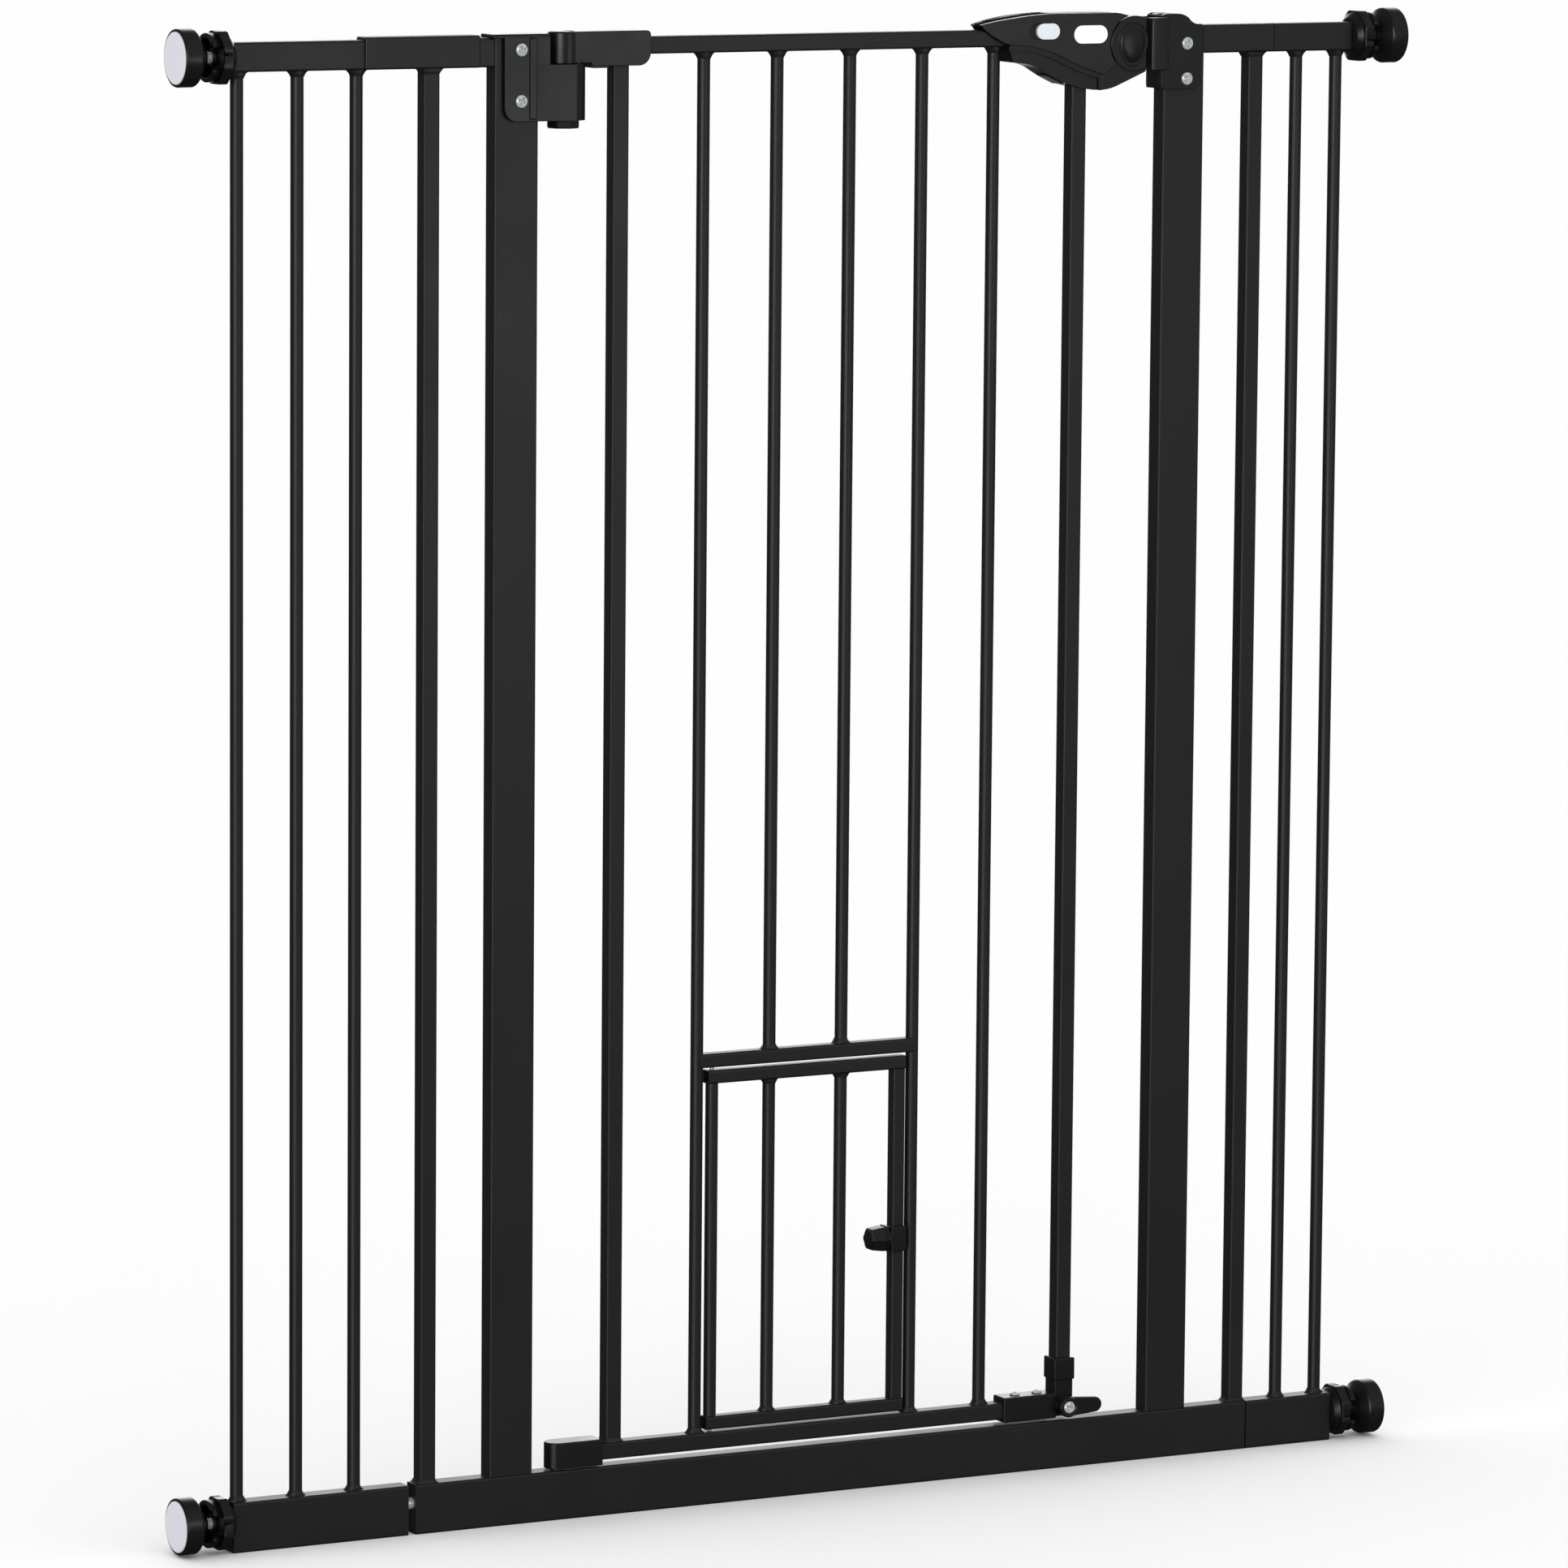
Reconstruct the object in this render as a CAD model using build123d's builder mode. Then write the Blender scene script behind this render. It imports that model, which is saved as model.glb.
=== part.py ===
"""Pressure-fit pet gate with a walk-through door and a small cat door.

X runs along the gate, +X towards the latch side; Y is through the gate, the front is -Y; Z is up.
The origin is under the middle of the gate, on the underside of the bottom rail. Units are mm.
"""
import os

from build123d import *

# Overall layout
rail_end_x = 437.0          # both pairs of extension rails end here, either side of the middle
top_z = 1030.0              # top of the frame's and the extensions' top rails

# Tubes: outside sizes, corner radii and wall
tube_wall = 1.2
corner_r = 1.6
bottom_rail_h, bottom_rail_d = 35.0, 15.0
top_rail_h, top_rail_d = 20.0, 12.0
wide_post_w, wide_post_d = 33.0, 15.0
square_tube = 12.0
cross_tube = 10.0
cat_tube = 9.5
bar_r, bar_wall = 4.5, 1.0

# Frame stations along X
hinge_post_x, latch_post_x = -226.5, 298.0
left_outer_x, right_outer_x = -289.5, 358.0
frame_rail_x0, frame_rail_x1 = -299.2, 365.0
left_ext_inner_x, right_ext_inner_x = -305.0, 366.0
left_stub_x0 = -297.0
right_stub_x1 = 372.5
left_ext_bars_x = (-431.8, -387.3, -343.5)
right_ext_bars_x = (394.5, 427.3)
sleeve_x0, sleeve_x1 = -340.0, -254.0
sleeve_wall = 2.0
sleeve_h = 22.0

# Door
hinge_x = -188.0
hinge_stile_x, latch_stile_x = -146.0, 214.0
door_bars_x = (-80.0, -23.0, 34.0, 91.0, 148.0)
door_z0, door_z1 = 39.0, 1029.0
cross_z0 = 310.0
pin_r = 4.0
running_gap = 0.05

# Upper hinge
hinge_block_z0, hinge_block_z1 = 973.0, 1011.4
hinge_block_r = 13.6
knuckle_r = 11.0
knuckle_z0, cap_z1 = 1012.0, 1033.5
cap_lug_z0 = 1010.4
cap_half_d = 10.0
cap_x1 = -125.7
hinge_nut_r, hinge_nut_z0, hinge_nut_z1 = 11.7, 967.5, 972.6
bracket_half_d = 11.0
bracket_plate_t = 3.5
bracket_top_t = 2.5

# Lower hinge foot
foot_half_d = 8.5
foot_x1 = -155.5
foot_z0, foot_z1 = 36.0, 54.5
lower_pin_z1 = 49.0

# Lower corner bracket and its wing lever
corner_sleeve_half = 8.3
corner_neck_half = 7.3
corner_x0 = 164.5
wing_x, wing_z = 214.0, 45.5
wing_hub_r = 7.4
wing_len, wing_tip_r = 22.0, 5.5

# Latch
pivot_x, pivot_z = 255.0, 1018.0
boss_r = 19.7
lever_arc_r = 20.1
latch_half_d = 13.0
lever_skin_y = 9.0
housing_half_d = 11.0
core_half_d = 7.8
latch_x1 = 264.4
tongue_half = 3.5
tongue_r = 5.0
latch_pin_r = 2.5
slot_x0, slot_x1, slot_z0, slot_z1 = 169.3, 194.1, 1021.8, 1033.6
slider_x0 = 175.6
badge_x0, badge_x1, badge_z0, badge_z1 = 205.3, 232.2, 1018.8, 1031.4

# Catch bracket
catch_x0, catch_x1 = 277.5, 311.0
catch_z0, catch_z1 = 985.5, 1031.0
catch_hump_z = 1038.5
lip_x0, lip_x1 = 266.6, 280.8
lip_z0, lip_z1 = 999.0, 1036.0
lip_y0, lip_y1 = 8.6, 16.5

# Cat door
cat_hinge_x = -68.0
cat_stile_x = 79.0
cat_z0, cat_z1 = 52.5, 308.0
cat_bars_x = (-23.0, 34.0)
cat_pin_r = 1.5
knob_z = 177.5
knob_pin_r = 2.0
knob_pin_tip_x = 86.0

# Wall spindles
spindle_r = 4.0
spindle_len = 84.0
bottom_spindle_z = 21.0
top_spindle_z = top_z - top_rail_h / 2
wheel_x0, wheel_x1 = 437.4, 455.0
pad_x0, pad_rim_x0, pad_x1 = 456.6, 464.6, 476.5
pad_r, pad_hub_r = 19.7, 9.0
pad_face_r, pad_face_x1 = 17.8, 477.2

# Screws
screw_head_r, screw_head_t = 4.4, 2.4
screw_shank_r = 2.0
hinge_screws_z = (986.9, 1021.8)
catch_screws_z = (992.7, 1017.5)
hinge_screw_x, catch_screw_x = -225.0, 298.0

parts = []


def keep(part, name):
    part.label = name
    parts.append((name, part))


def upright_tube(x, width, depth, z0, z1):
    """A hollow rectangular tube standing on z0."""
    with BuildPart() as tube:
        with BuildSketch(Plane.XY.offset(z0)):
            with Locations((x, 0)):
                RectangleRounded(width, depth, corner_r)
                RectangleRounded(width - 2 * tube_wall, depth - 2 * tube_wall, corner_r - 0.8,
                                 mode=Mode.SUBTRACT)
        extrude(amount=z1 - z0)
    return tube.part


def level_tube(x0, x1, height, depth, z0):
    """A hollow rectangular tube along X, with its underside at z0."""
    with BuildPart() as tube:
        with BuildSketch(Plane.YZ.offset(x0)):
            with Locations((0, z0 + height / 2)):
                RectangleRounded(depth, height, corner_r)
                RectangleRounded(depth - 2 * tube_wall, height - 2 * tube_wall, corner_r - 0.8,
                                 mode=Mode.SUBTRACT)
        extrude(amount=x1 - x0)
    return tube.part


def round_bars(stations, z0, z1):
    """Hollow round bars standing side by side from z0 to z1."""
    with BuildPart() as bars:
        with BuildSketch(Plane.XY.offset(z0)):
            with Locations(*[(x, 0) for x in stations]):
                Circle(bar_r)
                Circle(bar_r - bar_wall, mode=Mode.SUBTRACT)
        extrude(amount=z1 - z0)
    return bars.part


def profile_plate(points, y0, y1):
    """A closed outline in X and Z, given thickness from y0 to y1."""
    with BuildPart() as plate:
        with BuildSketch(Plane.XZ.offset(-y0)):
            with BuildLine():
                Polyline(*points, close=True)
            make_face()
        extrude(amount=-(y1 - y0))
    return plate.part


def box(x0, x1, y0, y1, z0, z1):
    """A private block between two corners, used to cut or to join."""
    block = Box(x1 - x0, y1 - y0, z1 - z0, mode=Mode.PRIVATE)
    return Pos((x0 + x1) / 2, (y0 + y1) / 2, (z0 + z1) / 2) * block


def rod_z(x, y, radius, z0, z1):
    return Pos(x, y, (z0 + z1) / 2) * Cylinder(radius, z1 - z0, mode=Mode.PRIVATE)


def rod_y(x, z, radius, y0, y1):
    return Pos(x, (y0 + y1) / 2, z) * Rot(90, 0, 0) * Cylinder(radius, y1 - y0, mode=Mode.PRIVATE)


def rod_x(y, z, radius, x0, x1):
    return Pos((x0 + x1) / 2, y, z) * Rot(0, 90, 0) * Cylinder(radius, x1 - x0, mode=Mode.PRIVATE)


def pan_screw(x, z, face_y, depth):
    """A cross-head pan screw whose head rests on the front face at face_y, its shank going back."""
    with BuildPart() as screw:
        with BuildSketch(Plane.XZ.offset(-face_y)):
            with Locations((x, z)):
                Circle(screw_head_r)
        extrude(amount=screw_head_t)
        fillet(screw.faces().sort_by(Axis.Y)[0].edges(), 1.8)
        with BuildSketch(Plane.XZ.offset(-face_y + screw_head_t)):
            with Locations((x, z)):
                Rectangle(4.8, 1.1)
                Rectangle(1.1, 4.8)
        extrude(amount=-1.4, mode=Mode.SUBTRACT)
        with BuildSketch(Plane.XZ.offset(-face_y)):
            with Locations((x, z)):
                Circle(screw_shank_r)
        extrude(amount=-depth)
    return screw.part


# Frame: the bottom rail carries both wide posts and both outer posts, all welded on its top face.
keep(level_tube(frame_rail_x0, frame_rail_x1, bottom_rail_h, bottom_rail_d, 0), "bottom_rail")

post_faces = wide_post_d / 2


def wide_post(x, screw_x, heights):
    """A wide post, drilled in front for the screws of its bracket."""
    tube = upright_tube(x, wide_post_w, wide_post_d, bottom_rail_h, top_z)
    with BuildPart() as post:
        add(tube)
        for z in heights:
            add(rod_y(screw_x, z, screw_shank_r, -post_faces - 1, 0), mode=Mode.SUBTRACT)
    return post.part


keep(wide_post(hinge_post_x, hinge_screw_x, hinge_screws_z), "hinge_post")
keep(wide_post(latch_post_x, catch_screw_x, catch_screws_z), "latch_post")

stub_z0 = top_z - top_rail_h
keep(upright_tube(left_outer_x, square_tube, square_tube, bottom_rail_h, stub_z0), "left_outer_post")
keep(upright_tube(right_outer_x, square_tube, square_tube, bottom_rail_h, stub_z0), "right_outer_post")

# Short top stubs reach from the wide posts over the outer posts.
keep(level_tube(left_stub_x0, hinge_post_x - wide_post_w / 2, top_rail_h, top_rail_d, stub_z0),
     "left_top_stub")
keep(level_tube(latch_post_x + wide_post_w / 2, right_stub_x1, top_rail_h, top_rail_d, stub_z0),
     "right_top_stub")

# Left extension: three bars between a top and a bottom rail, with a sleeve over the top joint.
keep(level_tube(-rail_end_x, left_stub_x0 - 0.5, top_rail_h, top_rail_d, stub_z0), "left_ext_top_rail")
keep(level_tube(-rail_end_x, left_ext_inner_x, bottom_rail_h, bottom_rail_d, 0), "left_ext_bottom_rail")
keep(round_bars(left_ext_bars_x, bottom_rail_h, stub_z0), "left_ext_bars")

sleeve_top = stub_z0 + sleeve_h
with BuildPart() as left_sleeve:
    with BuildSketch(Plane.YZ.offset(sleeve_x0)):
        with Locations((0, stub_z0 + sleeve_h / 2)):
            RectangleRounded(top_rail_d + 2 * sleeve_wall, sleeve_h, corner_r)
        with Locations((0, stub_z0 + top_rail_h / 2)):
            Rectangle(top_rail_d, top_rail_h, mode=Mode.SUBTRACT)
    extrude(amount=sleeve_x1 - sleeve_x0)
    fillet(left_sleeve.edges().filter_by(Axis.Y).group_by(Axis.Z)[-1], 1.4)
keep(left_sleeve.part, "left_sleeve")

# Right extension: two bars between its rails.
keep(level_tube(right_stub_x1 + 0.5, rail_end_x, top_rail_h, top_rail_d, stub_z0), "right_ext_top_rail")
keep(level_tube(right_ext_inner_x, rail_end_x, bottom_rail_h, bottom_rail_d, 0), "right_ext_bottom_rail")
keep(round_bars(right_ext_bars_x, bottom_rail_h, stub_z0), "right_ext_bars")

# Plastic plugs close the tube ends; a hole in each takes a spindle or a joining bolt.
plug_len = 12.0
plug_gap = 0.3


def tube_plug(x0, x1, height, depth, z0, hole_z, hole_r):
    inner_h, inner_d = height - 2 * tube_wall, depth - 2 * tube_wall
    with BuildPart() as plug:
        with BuildSketch(Plane.YZ.offset(x0)):
            with Locations((0, z0 + height / 2)):
                RectangleRounded(inner_d, inner_h, corner_r - 0.8)
            with Locations((0, hole_z)):
                Circle(hole_r, mode=Mode.SUBTRACT)
        extrude(amount=x1 - x0)
    return plug.part


wall_plugs = [tube_plug(x0, x0 + plug_len, height, depth, z0, spindle_z, spindle_r + plug_gap)
              for x0 in (-rail_end_x, rail_end_x - plug_len)
              for height, depth, z0, spindle_z in ((bottom_rail_h, bottom_rail_d, 0, bottom_spindle_z),
                                                   (top_rail_h, top_rail_d, stub_z0, top_spindle_z))]
with BuildPart() as wall_end_plugs:
    add(wall_plugs)
keep(wall_end_plugs.part, "wall_end_plugs")

inner_plugs = [tube_plug(x0, x0 + plug_len, bottom_rail_h, bottom_rail_d, 0, bottom_spindle_z, spindle_r)
               for x0 in (left_ext_inner_x - plug_len, frame_rail_x0,
                          frame_rail_x1 - plug_len, right_ext_inner_x)]
with BuildPart() as joint_plugs:
    add(inner_plugs)
keep(joint_plugs.part, "joint_plugs")

bolt_reach = 16.0
with BuildPart() as joint_bolts:
    for x0, x1 in ((left_ext_inner_x, frame_rail_x0), (frame_rail_x1, right_ext_inner_x)):
        add(rod_x(0, bottom_spindle_z, spindle_r, x0 - bolt_reach, x1 + bolt_reach))
keep(joint_bolts.part, "joint_bolts")

# Hinge bracket: a moulded cover on three sides of the post, with a round block that carries the pin.
post_right = hinge_post_x + wide_post_w / 2
plate_x0 = -237.3
web_x1 = post_right + bracket_plate_t
with BuildPart() as hinge_bracket:
    with BuildSketch(Plane.XY.offset(hinge_block_z0)):
        with BuildLine():
            Polyline((plate_x0, -bracket_half_d), (web_x1, -bracket_half_d), (web_x1, bracket_half_d),
                     (plate_x0, bracket_half_d), (plate_x0, post_faces), (post_right, post_faces),
                     (post_right, -post_faces), (plate_x0, -post_faces), close=True)
        make_face()
    extrude(amount=top_z - hinge_block_z0)
    lower_edges = hinge_bracket.edges().filter_by(Axis.Y).group_by(Axis.Z)[0]
    fillet(lower_edges.group_by(Axis.X)[0], 9.0)
    add(box(plate_x0 - 8.5, web_x1, -bracket_half_d, bracket_half_d, top_z, top_z + bracket_top_t))
    fillet(hinge_bracket.edges().filter_by(Axis.Y).group_by(Axis.Z)[-1], 2.0)
    with BuildSketch(Plane.XY.offset(hinge_block_z0)):
        with BuildLine():
            Line((post_right, -bracket_half_d), (post_right, bracket_half_d))
            Line((web_x1, -bracket_half_d), (web_x1, bracket_half_d))
            CenterArc((hinge_x, 0), hinge_block_r, 0, 360)
        make_hull()
    extrude(amount=hinge_block_z1 - hinge_block_z0)
    add(rod_z(hinge_x, 0, pin_r + running_gap, hinge_block_z0 - 1, hinge_block_z1 + 1),
        mode=Mode.SUBTRACT)
    for z in hinge_screws_z:
        add(rod_y(hinge_screw_x, z, screw_shank_r, -bracket_half_d - 1, -post_faces + 1),
            mode=Mode.SUBTRACT)
keep(hinge_bracket.part, "hinge_bracket")

# Catch bracket: a cover round the latch post with a raised crown and a lip on each side of the mouth.
catch_left = latch_post_x - wide_post_w / 2
with BuildPart() as catch_bracket:
    with BuildSketch(Plane.XZ.offset(bracket_half_d)):
        with BuildLine():
            crown = Polyline((catch_x0, catch_z0), (catch_x1 - 8, catch_z0))
            TangentArc(crown @ 1, (catch_x1, catch_z0 + 8), tangent=(1, 0))
            Polyline((catch_x1, catch_z0 + 8), (catch_x1, catch_z1), (catch_x1 - 8, catch_z1))
            Spline((catch_x1 - 8, catch_z1), (catch_x1 - 12, catch_hump_z - 3.2),
                   (catch_x1 - 21, catch_hump_z), tangents=[(-0.5, 1), (-1, 0)])
            Polyline((catch_x1 - 21, catch_hump_z), (catch_x0, catch_hump_z), (catch_x0, catch_z0))
        make_face()
    extrude(amount=-2 * bracket_half_d)
    add(box(catch_left, latch_post_x + wide_post_w, -post_faces, post_faces, catch_z0 - 1, top_z),
        mode=Mode.SUBTRACT)
    for side in (-1, 1):
        y_near, y_far = sorted((side * lip_y0, side * lip_y1))
        with BuildSketch(Plane.XY.offset(lip_z0)):
            with Locations(((lip_x0 + lip_x1) / 2, side * (lip_y0 + lip_y1) / 2)):
                RectangleRounded(lip_x1 - lip_x0, lip_y1 - lip_y0, 2.5)
        extrude(amount=lip_z1 - lip_z0)
    for z in catch_screws_z:
        add(rod_y(catch_screw_x, z, screw_shank_r, -bracket_half_d - 1, -post_faces + 1),
            mode=Mode.SUBTRACT)
keep(catch_bracket.part, "catch_bracket")

screws = [pan_screw(x, z, -bracket_half_d, bracket_plate_t + 8)
          for x, heights in ((hinge_screw_x, hinge_screws_z), (catch_screw_x, catch_screws_z))
          for z in heights]
with BuildPart() as bracket_screws:
    add(screws)
keep(bracket_screws.part, "bracket_screws")

with BuildPart() as lower_hinge_pin:
    add(rod_z(hinge_x, 0, pin_r, bottom_rail_h, lower_pin_z1))
    chamfer(lower_hinge_pin.edges().sort_by(Axis.Z)[-1], 0.8)
keep(lower_hinge_pin.part, "lower_hinge_pin")

# Door: top and bottom rails run the full width, the stiles and bars are welded between them.
door_rail_z1 = door_z0 + square_tube
door_top_z0 = door_z1 - square_tube
half = square_tube / 2
hinge_rail_x0 = hinge_x + 10
top_rail_x1 = 231.0
corner_rail_x1 = 204.0
corner_stile_z0 = 58.0

keep(level_tube(hinge_rail_x0, top_rail_x1, square_tube, square_tube, door_top_z0), "door_top_rail")
keep(level_tube(hinge_rail_x0, corner_rail_x1, square_tube, square_tube, door_z0), "door_bottom_rail")
keep(upright_tube(hinge_stile_x, square_tube, square_tube, door_rail_z1, door_top_z0), "door_hinge_stile")
keep(upright_tube(latch_stile_x, square_tube, square_tube, corner_stile_z0, door_top_z0),
     "door_latch_stile")

cross_z1 = cross_z0 + cross_tube
long_bars = round_bars((door_bars_x[0], door_bars_x[3], door_bars_x[4]), door_rail_z1, door_top_z0)
short_bars = round_bars(door_bars_x[1:3], cross_z1, door_top_z0)
with BuildPart() as door_bars:
    add(long_bars)
    add(short_bars)
keep(door_bars.part, "door_bars")

cross_blank = level_tube(door_bars_x[0], door_bars_x[3], cross_tube, cross_tube, cross_z0)
with BuildPart() as door_cross_rail:
    add(cross_blank)
    for x in (door_bars_x[0], door_bars_x[3]):
        add(rod_z(x, 0, bar_r, cross_z0 - 1, cross_z1 + 1), mode=Mode.SUBTRACT)
    add(rod_z(cat_hinge_x, 0, cat_pin_r, cross_z0 - 1, cross_z0 + 3), mode=Mode.SUBTRACT)
keep(door_cross_rail.part, "door_cross_rail")

# Hinge cap: a moulded arm over the corner of the door, with a knuckle round the hinge pin.
with BuildPart() as hinge_cap:
    with BuildSketch(Plane.XZ.offset(cap_half_d)):
        with BuildLine():
            Polyline((hinge_x, knuckle_z0), (hinge_x + 16.5, knuckle_z0), (hinge_x + 16.5, cap_lug_z0),
                     (cap_x1 - 8.5, cap_lug_z0))
            CenterArc((cap_x1 - 8.5, cap_lug_z0 + 8.5), 8.5, -90, 90)
            Polyline((cap_x1, cap_lug_z0 + 8.5), (cap_x1, cap_z1 - 1.5), (cap_x1 - 1.5, cap_z1),
                     (hinge_x, cap_z1), (hinge_x, knuckle_z0))
        make_face()
    extrude(amount=-2 * cap_half_d)
    add(rod_z(hinge_x, 0, knuckle_r, knuckle_z0, cap_z1))
    add(box(hinge_rail_x0, cap_x1 + 1, -half, half, door_top_z0, door_z1), mode=Mode.SUBTRACT)
    add(box(hinge_stile_x - half, hinge_stile_x + half, -half, half, cap_lug_z0 - 1, door_top_z0),
        mode=Mode.SUBTRACT)
    add(rod_z(hinge_x, 0, pin_r, knuckle_z0 - 1, cap_z1 - 3), mode=Mode.SUBTRACT)
keep(hinge_cap.part, "hinge_cap")

with BuildPart() as hinge_pin:
    add(rod_z(hinge_x, 0, pin_r, hinge_nut_z0 + 1, cap_z1 - 3))
keep(hinge_pin.part, "hinge_pin")

with BuildPart() as hinge_nut:
    with BuildSketch(Plane.XY.offset(hinge_nut_z0)):
        with Locations((hinge_x, 0)):
            RegularPolygon(hinge_nut_r, 8)
    extrude(amount=hinge_nut_z1 - hinge_nut_z0)
    chamfer(hinge_nut.faces().sort_by(Axis.Z)[0].edges(), 0.8)
    add(rod_z(hinge_x, 0, pin_r, hinge_nut_z0 + 1, hinge_nut_z1 + 1), mode=Mode.SUBTRACT)
keep(hinge_nut.part, "hinge_nut")

# Lower hinge foot: a round-nosed cap over the end of the door's bottom rail, standing on the pin.
with BuildPart() as hinge_foot:
    with BuildSketch(Plane.XY.offset(foot_z0)):
        with Locations(((hinge_x + foot_x1) / 2, 0)):
            Rectangle(foot_x1 - hinge_x, 2 * foot_half_d)
        with Locations((hinge_x, 0)):
            Circle(foot_half_d)
    extrude(amount=foot_z1 - foot_z0)
    chamfer(hinge_foot.faces().sort_by(Axis.Z)[-1].edges(), 0.8)
    add(box(hinge_rail_x0, foot_x1 + 1, -half, half, door_z0, door_rail_z1), mode=Mode.SUBTRACT)
    add(rod_z(hinge_x, 0, pin_r + running_gap, foot_z0 - 1, lower_pin_z1 + 0.6), mode=Mode.SUBTRACT)
keep(hinge_foot.part, "hinge_foot")

# Lower corner bracket: an elbow that joins the latch stile to the bottom rail.
corner_z1 = 80.0
neck_z1 = 64.0
corner_sleeve_z0, corner_sleeve_z1 = 36.8, 55.0
with BuildPart() as corner_bracket:
    add(box(latch_stile_x - corner_sleeve_half, latch_stile_x + corner_sleeve_half,
            -corner_sleeve_half, corner_sleeve_half, neck_z1, corner_z1))
    fillet(corner_bracket.edges(), 1.0)
    add(box(latch_stile_x - corner_neck_half, latch_stile_x + corner_neck_half,
            -corner_neck_half, corner_neck_half, corner_sleeve_z0 + 1, neck_z1 + 1))
    add(box(corner_x0, latch_stile_x - corner_neck_half, -corner_sleeve_half, corner_sleeve_half,
            corner_sleeve_z0, corner_sleeve_z1))
    add(rod_y(wing_x, wing_z, wing_hub_r, -10.0, 0))
    add(box(corner_x0 - 1, corner_rail_x1, -half, half, door_z0, door_rail_z1), mode=Mode.SUBTRACT)
    add(box(latch_stile_x - half, latch_stile_x + half, -half, half, corner_stile_z0, corner_z1 + 1),
        mode=Mode.SUBTRACT)
    add(rod_y(wing_x, wing_z, screw_shank_r, -11, -2), mode=Mode.SUBTRACT)
    for x in (177.7, 195.5):
        add(rod_z(x, 0, 1.5, door_rail_z1, corner_sleeve_z1 + 1), mode=Mode.SUBTRACT)
keep(corner_bracket.part, "corner_bracket")

# The wing lever turns on a shouldered screw; two small screws hold the elbow on the rail.
wing_y0, wing_y1 = -16.5, -10.3
wing_screw = pan_screw(wing_x, wing_z, wing_y0 + 1.7, -2.0 - (wing_y0 + 1.7))
with BuildPart() as corner_screws:
    add(wing_screw)
    for x in (177.7, 195.5):
        add(rod_z(x, 0, 1.5, door_rail_z1, corner_sleeve_z1))
        add(rod_z(x, 0, 3.6, corner_sleeve_z1, corner_sleeve_z1 + 1.8))
keep(corner_screws.part, "corner_screws")

with BuildPart() as wing_lever:
    with BuildSketch(Plane.XZ.offset(-wing_y1)):
        with BuildLine():
            CenterArc((wing_x, wing_z), wing_hub_r, 0, 360)
            CenterArc((wing_x + wing_len, wing_z), wing_tip_r, 0, 360)
        make_hull()
    extrude(amount=wing_y1 - wing_y0)
    fillet(wing_lever.faces().sort_by(Axis.Y)[0].edges(), 1.0)
    add(rod_y(wing_x, wing_z, screw_head_r + 0.6, wing_y0 - 1, wing_y0 + 2.1), mode=Mode.SUBTRACT)
    add(rod_y(wing_x, wing_z, screw_shank_r + running_gap, wing_y0, wing_y1 + 1), mode=Mode.SUBTRACT)
keep(wing_lever.part, "wing_lever")

# Latch housing: a core round the corner of the door, a lower skirt, and a round boss with the pivot.
lever_curve = [(138.5, 1027.0), (152.6, 1018.6), (176.0, 1017.9), (190.0, 1012.6), (206.3, 1005.4),
               (218.0, 1000.2), (228.7, 997.0)]
skirt_gap = 0.4
skirt = [(153.2, 1018.1 - skirt_gap), (154.2, 1007.6), (158.0, 1005.0), (174.2, 1004.6),
         (197.3, 991.7), (208.0, 988.0), (216.5, 986.5), (227.0, 986.0), (235.5, 987.6),
         (latch_x1, 998.4), (latch_x1, 1006.0), (248.0, 1004.5), (238.0, 999.0)]
skirt += [(x, z - skirt_gap) for x, z in reversed(lever_curve[2:])]
core = [(162.0, 1010.0), (196.0, 998.0), (236.0, 994.0), (242.5, 1002.0), (238.0, 1010.0),
        (235.0, 1018.0), (234.0, 1030.6), (162.0, 1030.6)]
skirt_plate = profile_plate(skirt, -housing_half_d, housing_half_d)
core_plate = profile_plate(core, -core_half_d, core_half_d)
with BuildPart() as latch_housing:
    add(skirt_plate)
    add(core_plate)
    add(rod_y(pivot_x, pivot_z, boss_r, -latch_half_d, latch_half_d))
    add(box(latch_x1, latch_x1 + 20, -20, 20, 980, 1050), mode=Mode.SUBTRACT)
    add(box(233.0, 260.8, -tongue_half - 0.5, tongue_half + 0.5, 1007.0, 1045.0), mode=Mode.SUBTRACT)
    add(rod_y(pivot_x, pivot_z, latch_pin_r, -latch_half_d, latch_half_d))
    add(box(150.0, top_rail_x1, -half, half, door_top_z0, door_z1), mode=Mode.SUBTRACT)
    add(box(latch_stile_x - half, latch_stile_x + half, -half, half, 980, door_top_z0),
        mode=Mode.SUBTRACT)
keep(latch_housing.part, "latch_housing")

egg = [(252.9, 1031.8), (258.6, 1030.2), (262.4, 1025.6), (263.4, 1019.5), (261.6, 1012.5),
       (257.6, 1005.8), (252.9, 1003.3), (248.2, 1005.8), (244.2, 1012.5), (242.4, 1019.5),
       (243.4, 1025.6), (247.2, 1030.2)]
with BuildPart() as pivot_cap:
    with BuildSketch(Plane.XZ.offset(latch_half_d)):
        with BuildLine():
            Spline(*egg, periodic=True)
        make_face()
    extrude(amount=1.6)
    fillet(pivot_cap.faces().sort_by(Axis.Y)[0].edges(), 1.0)
keep(pivot_cap.part, "pivot_cap")

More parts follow.
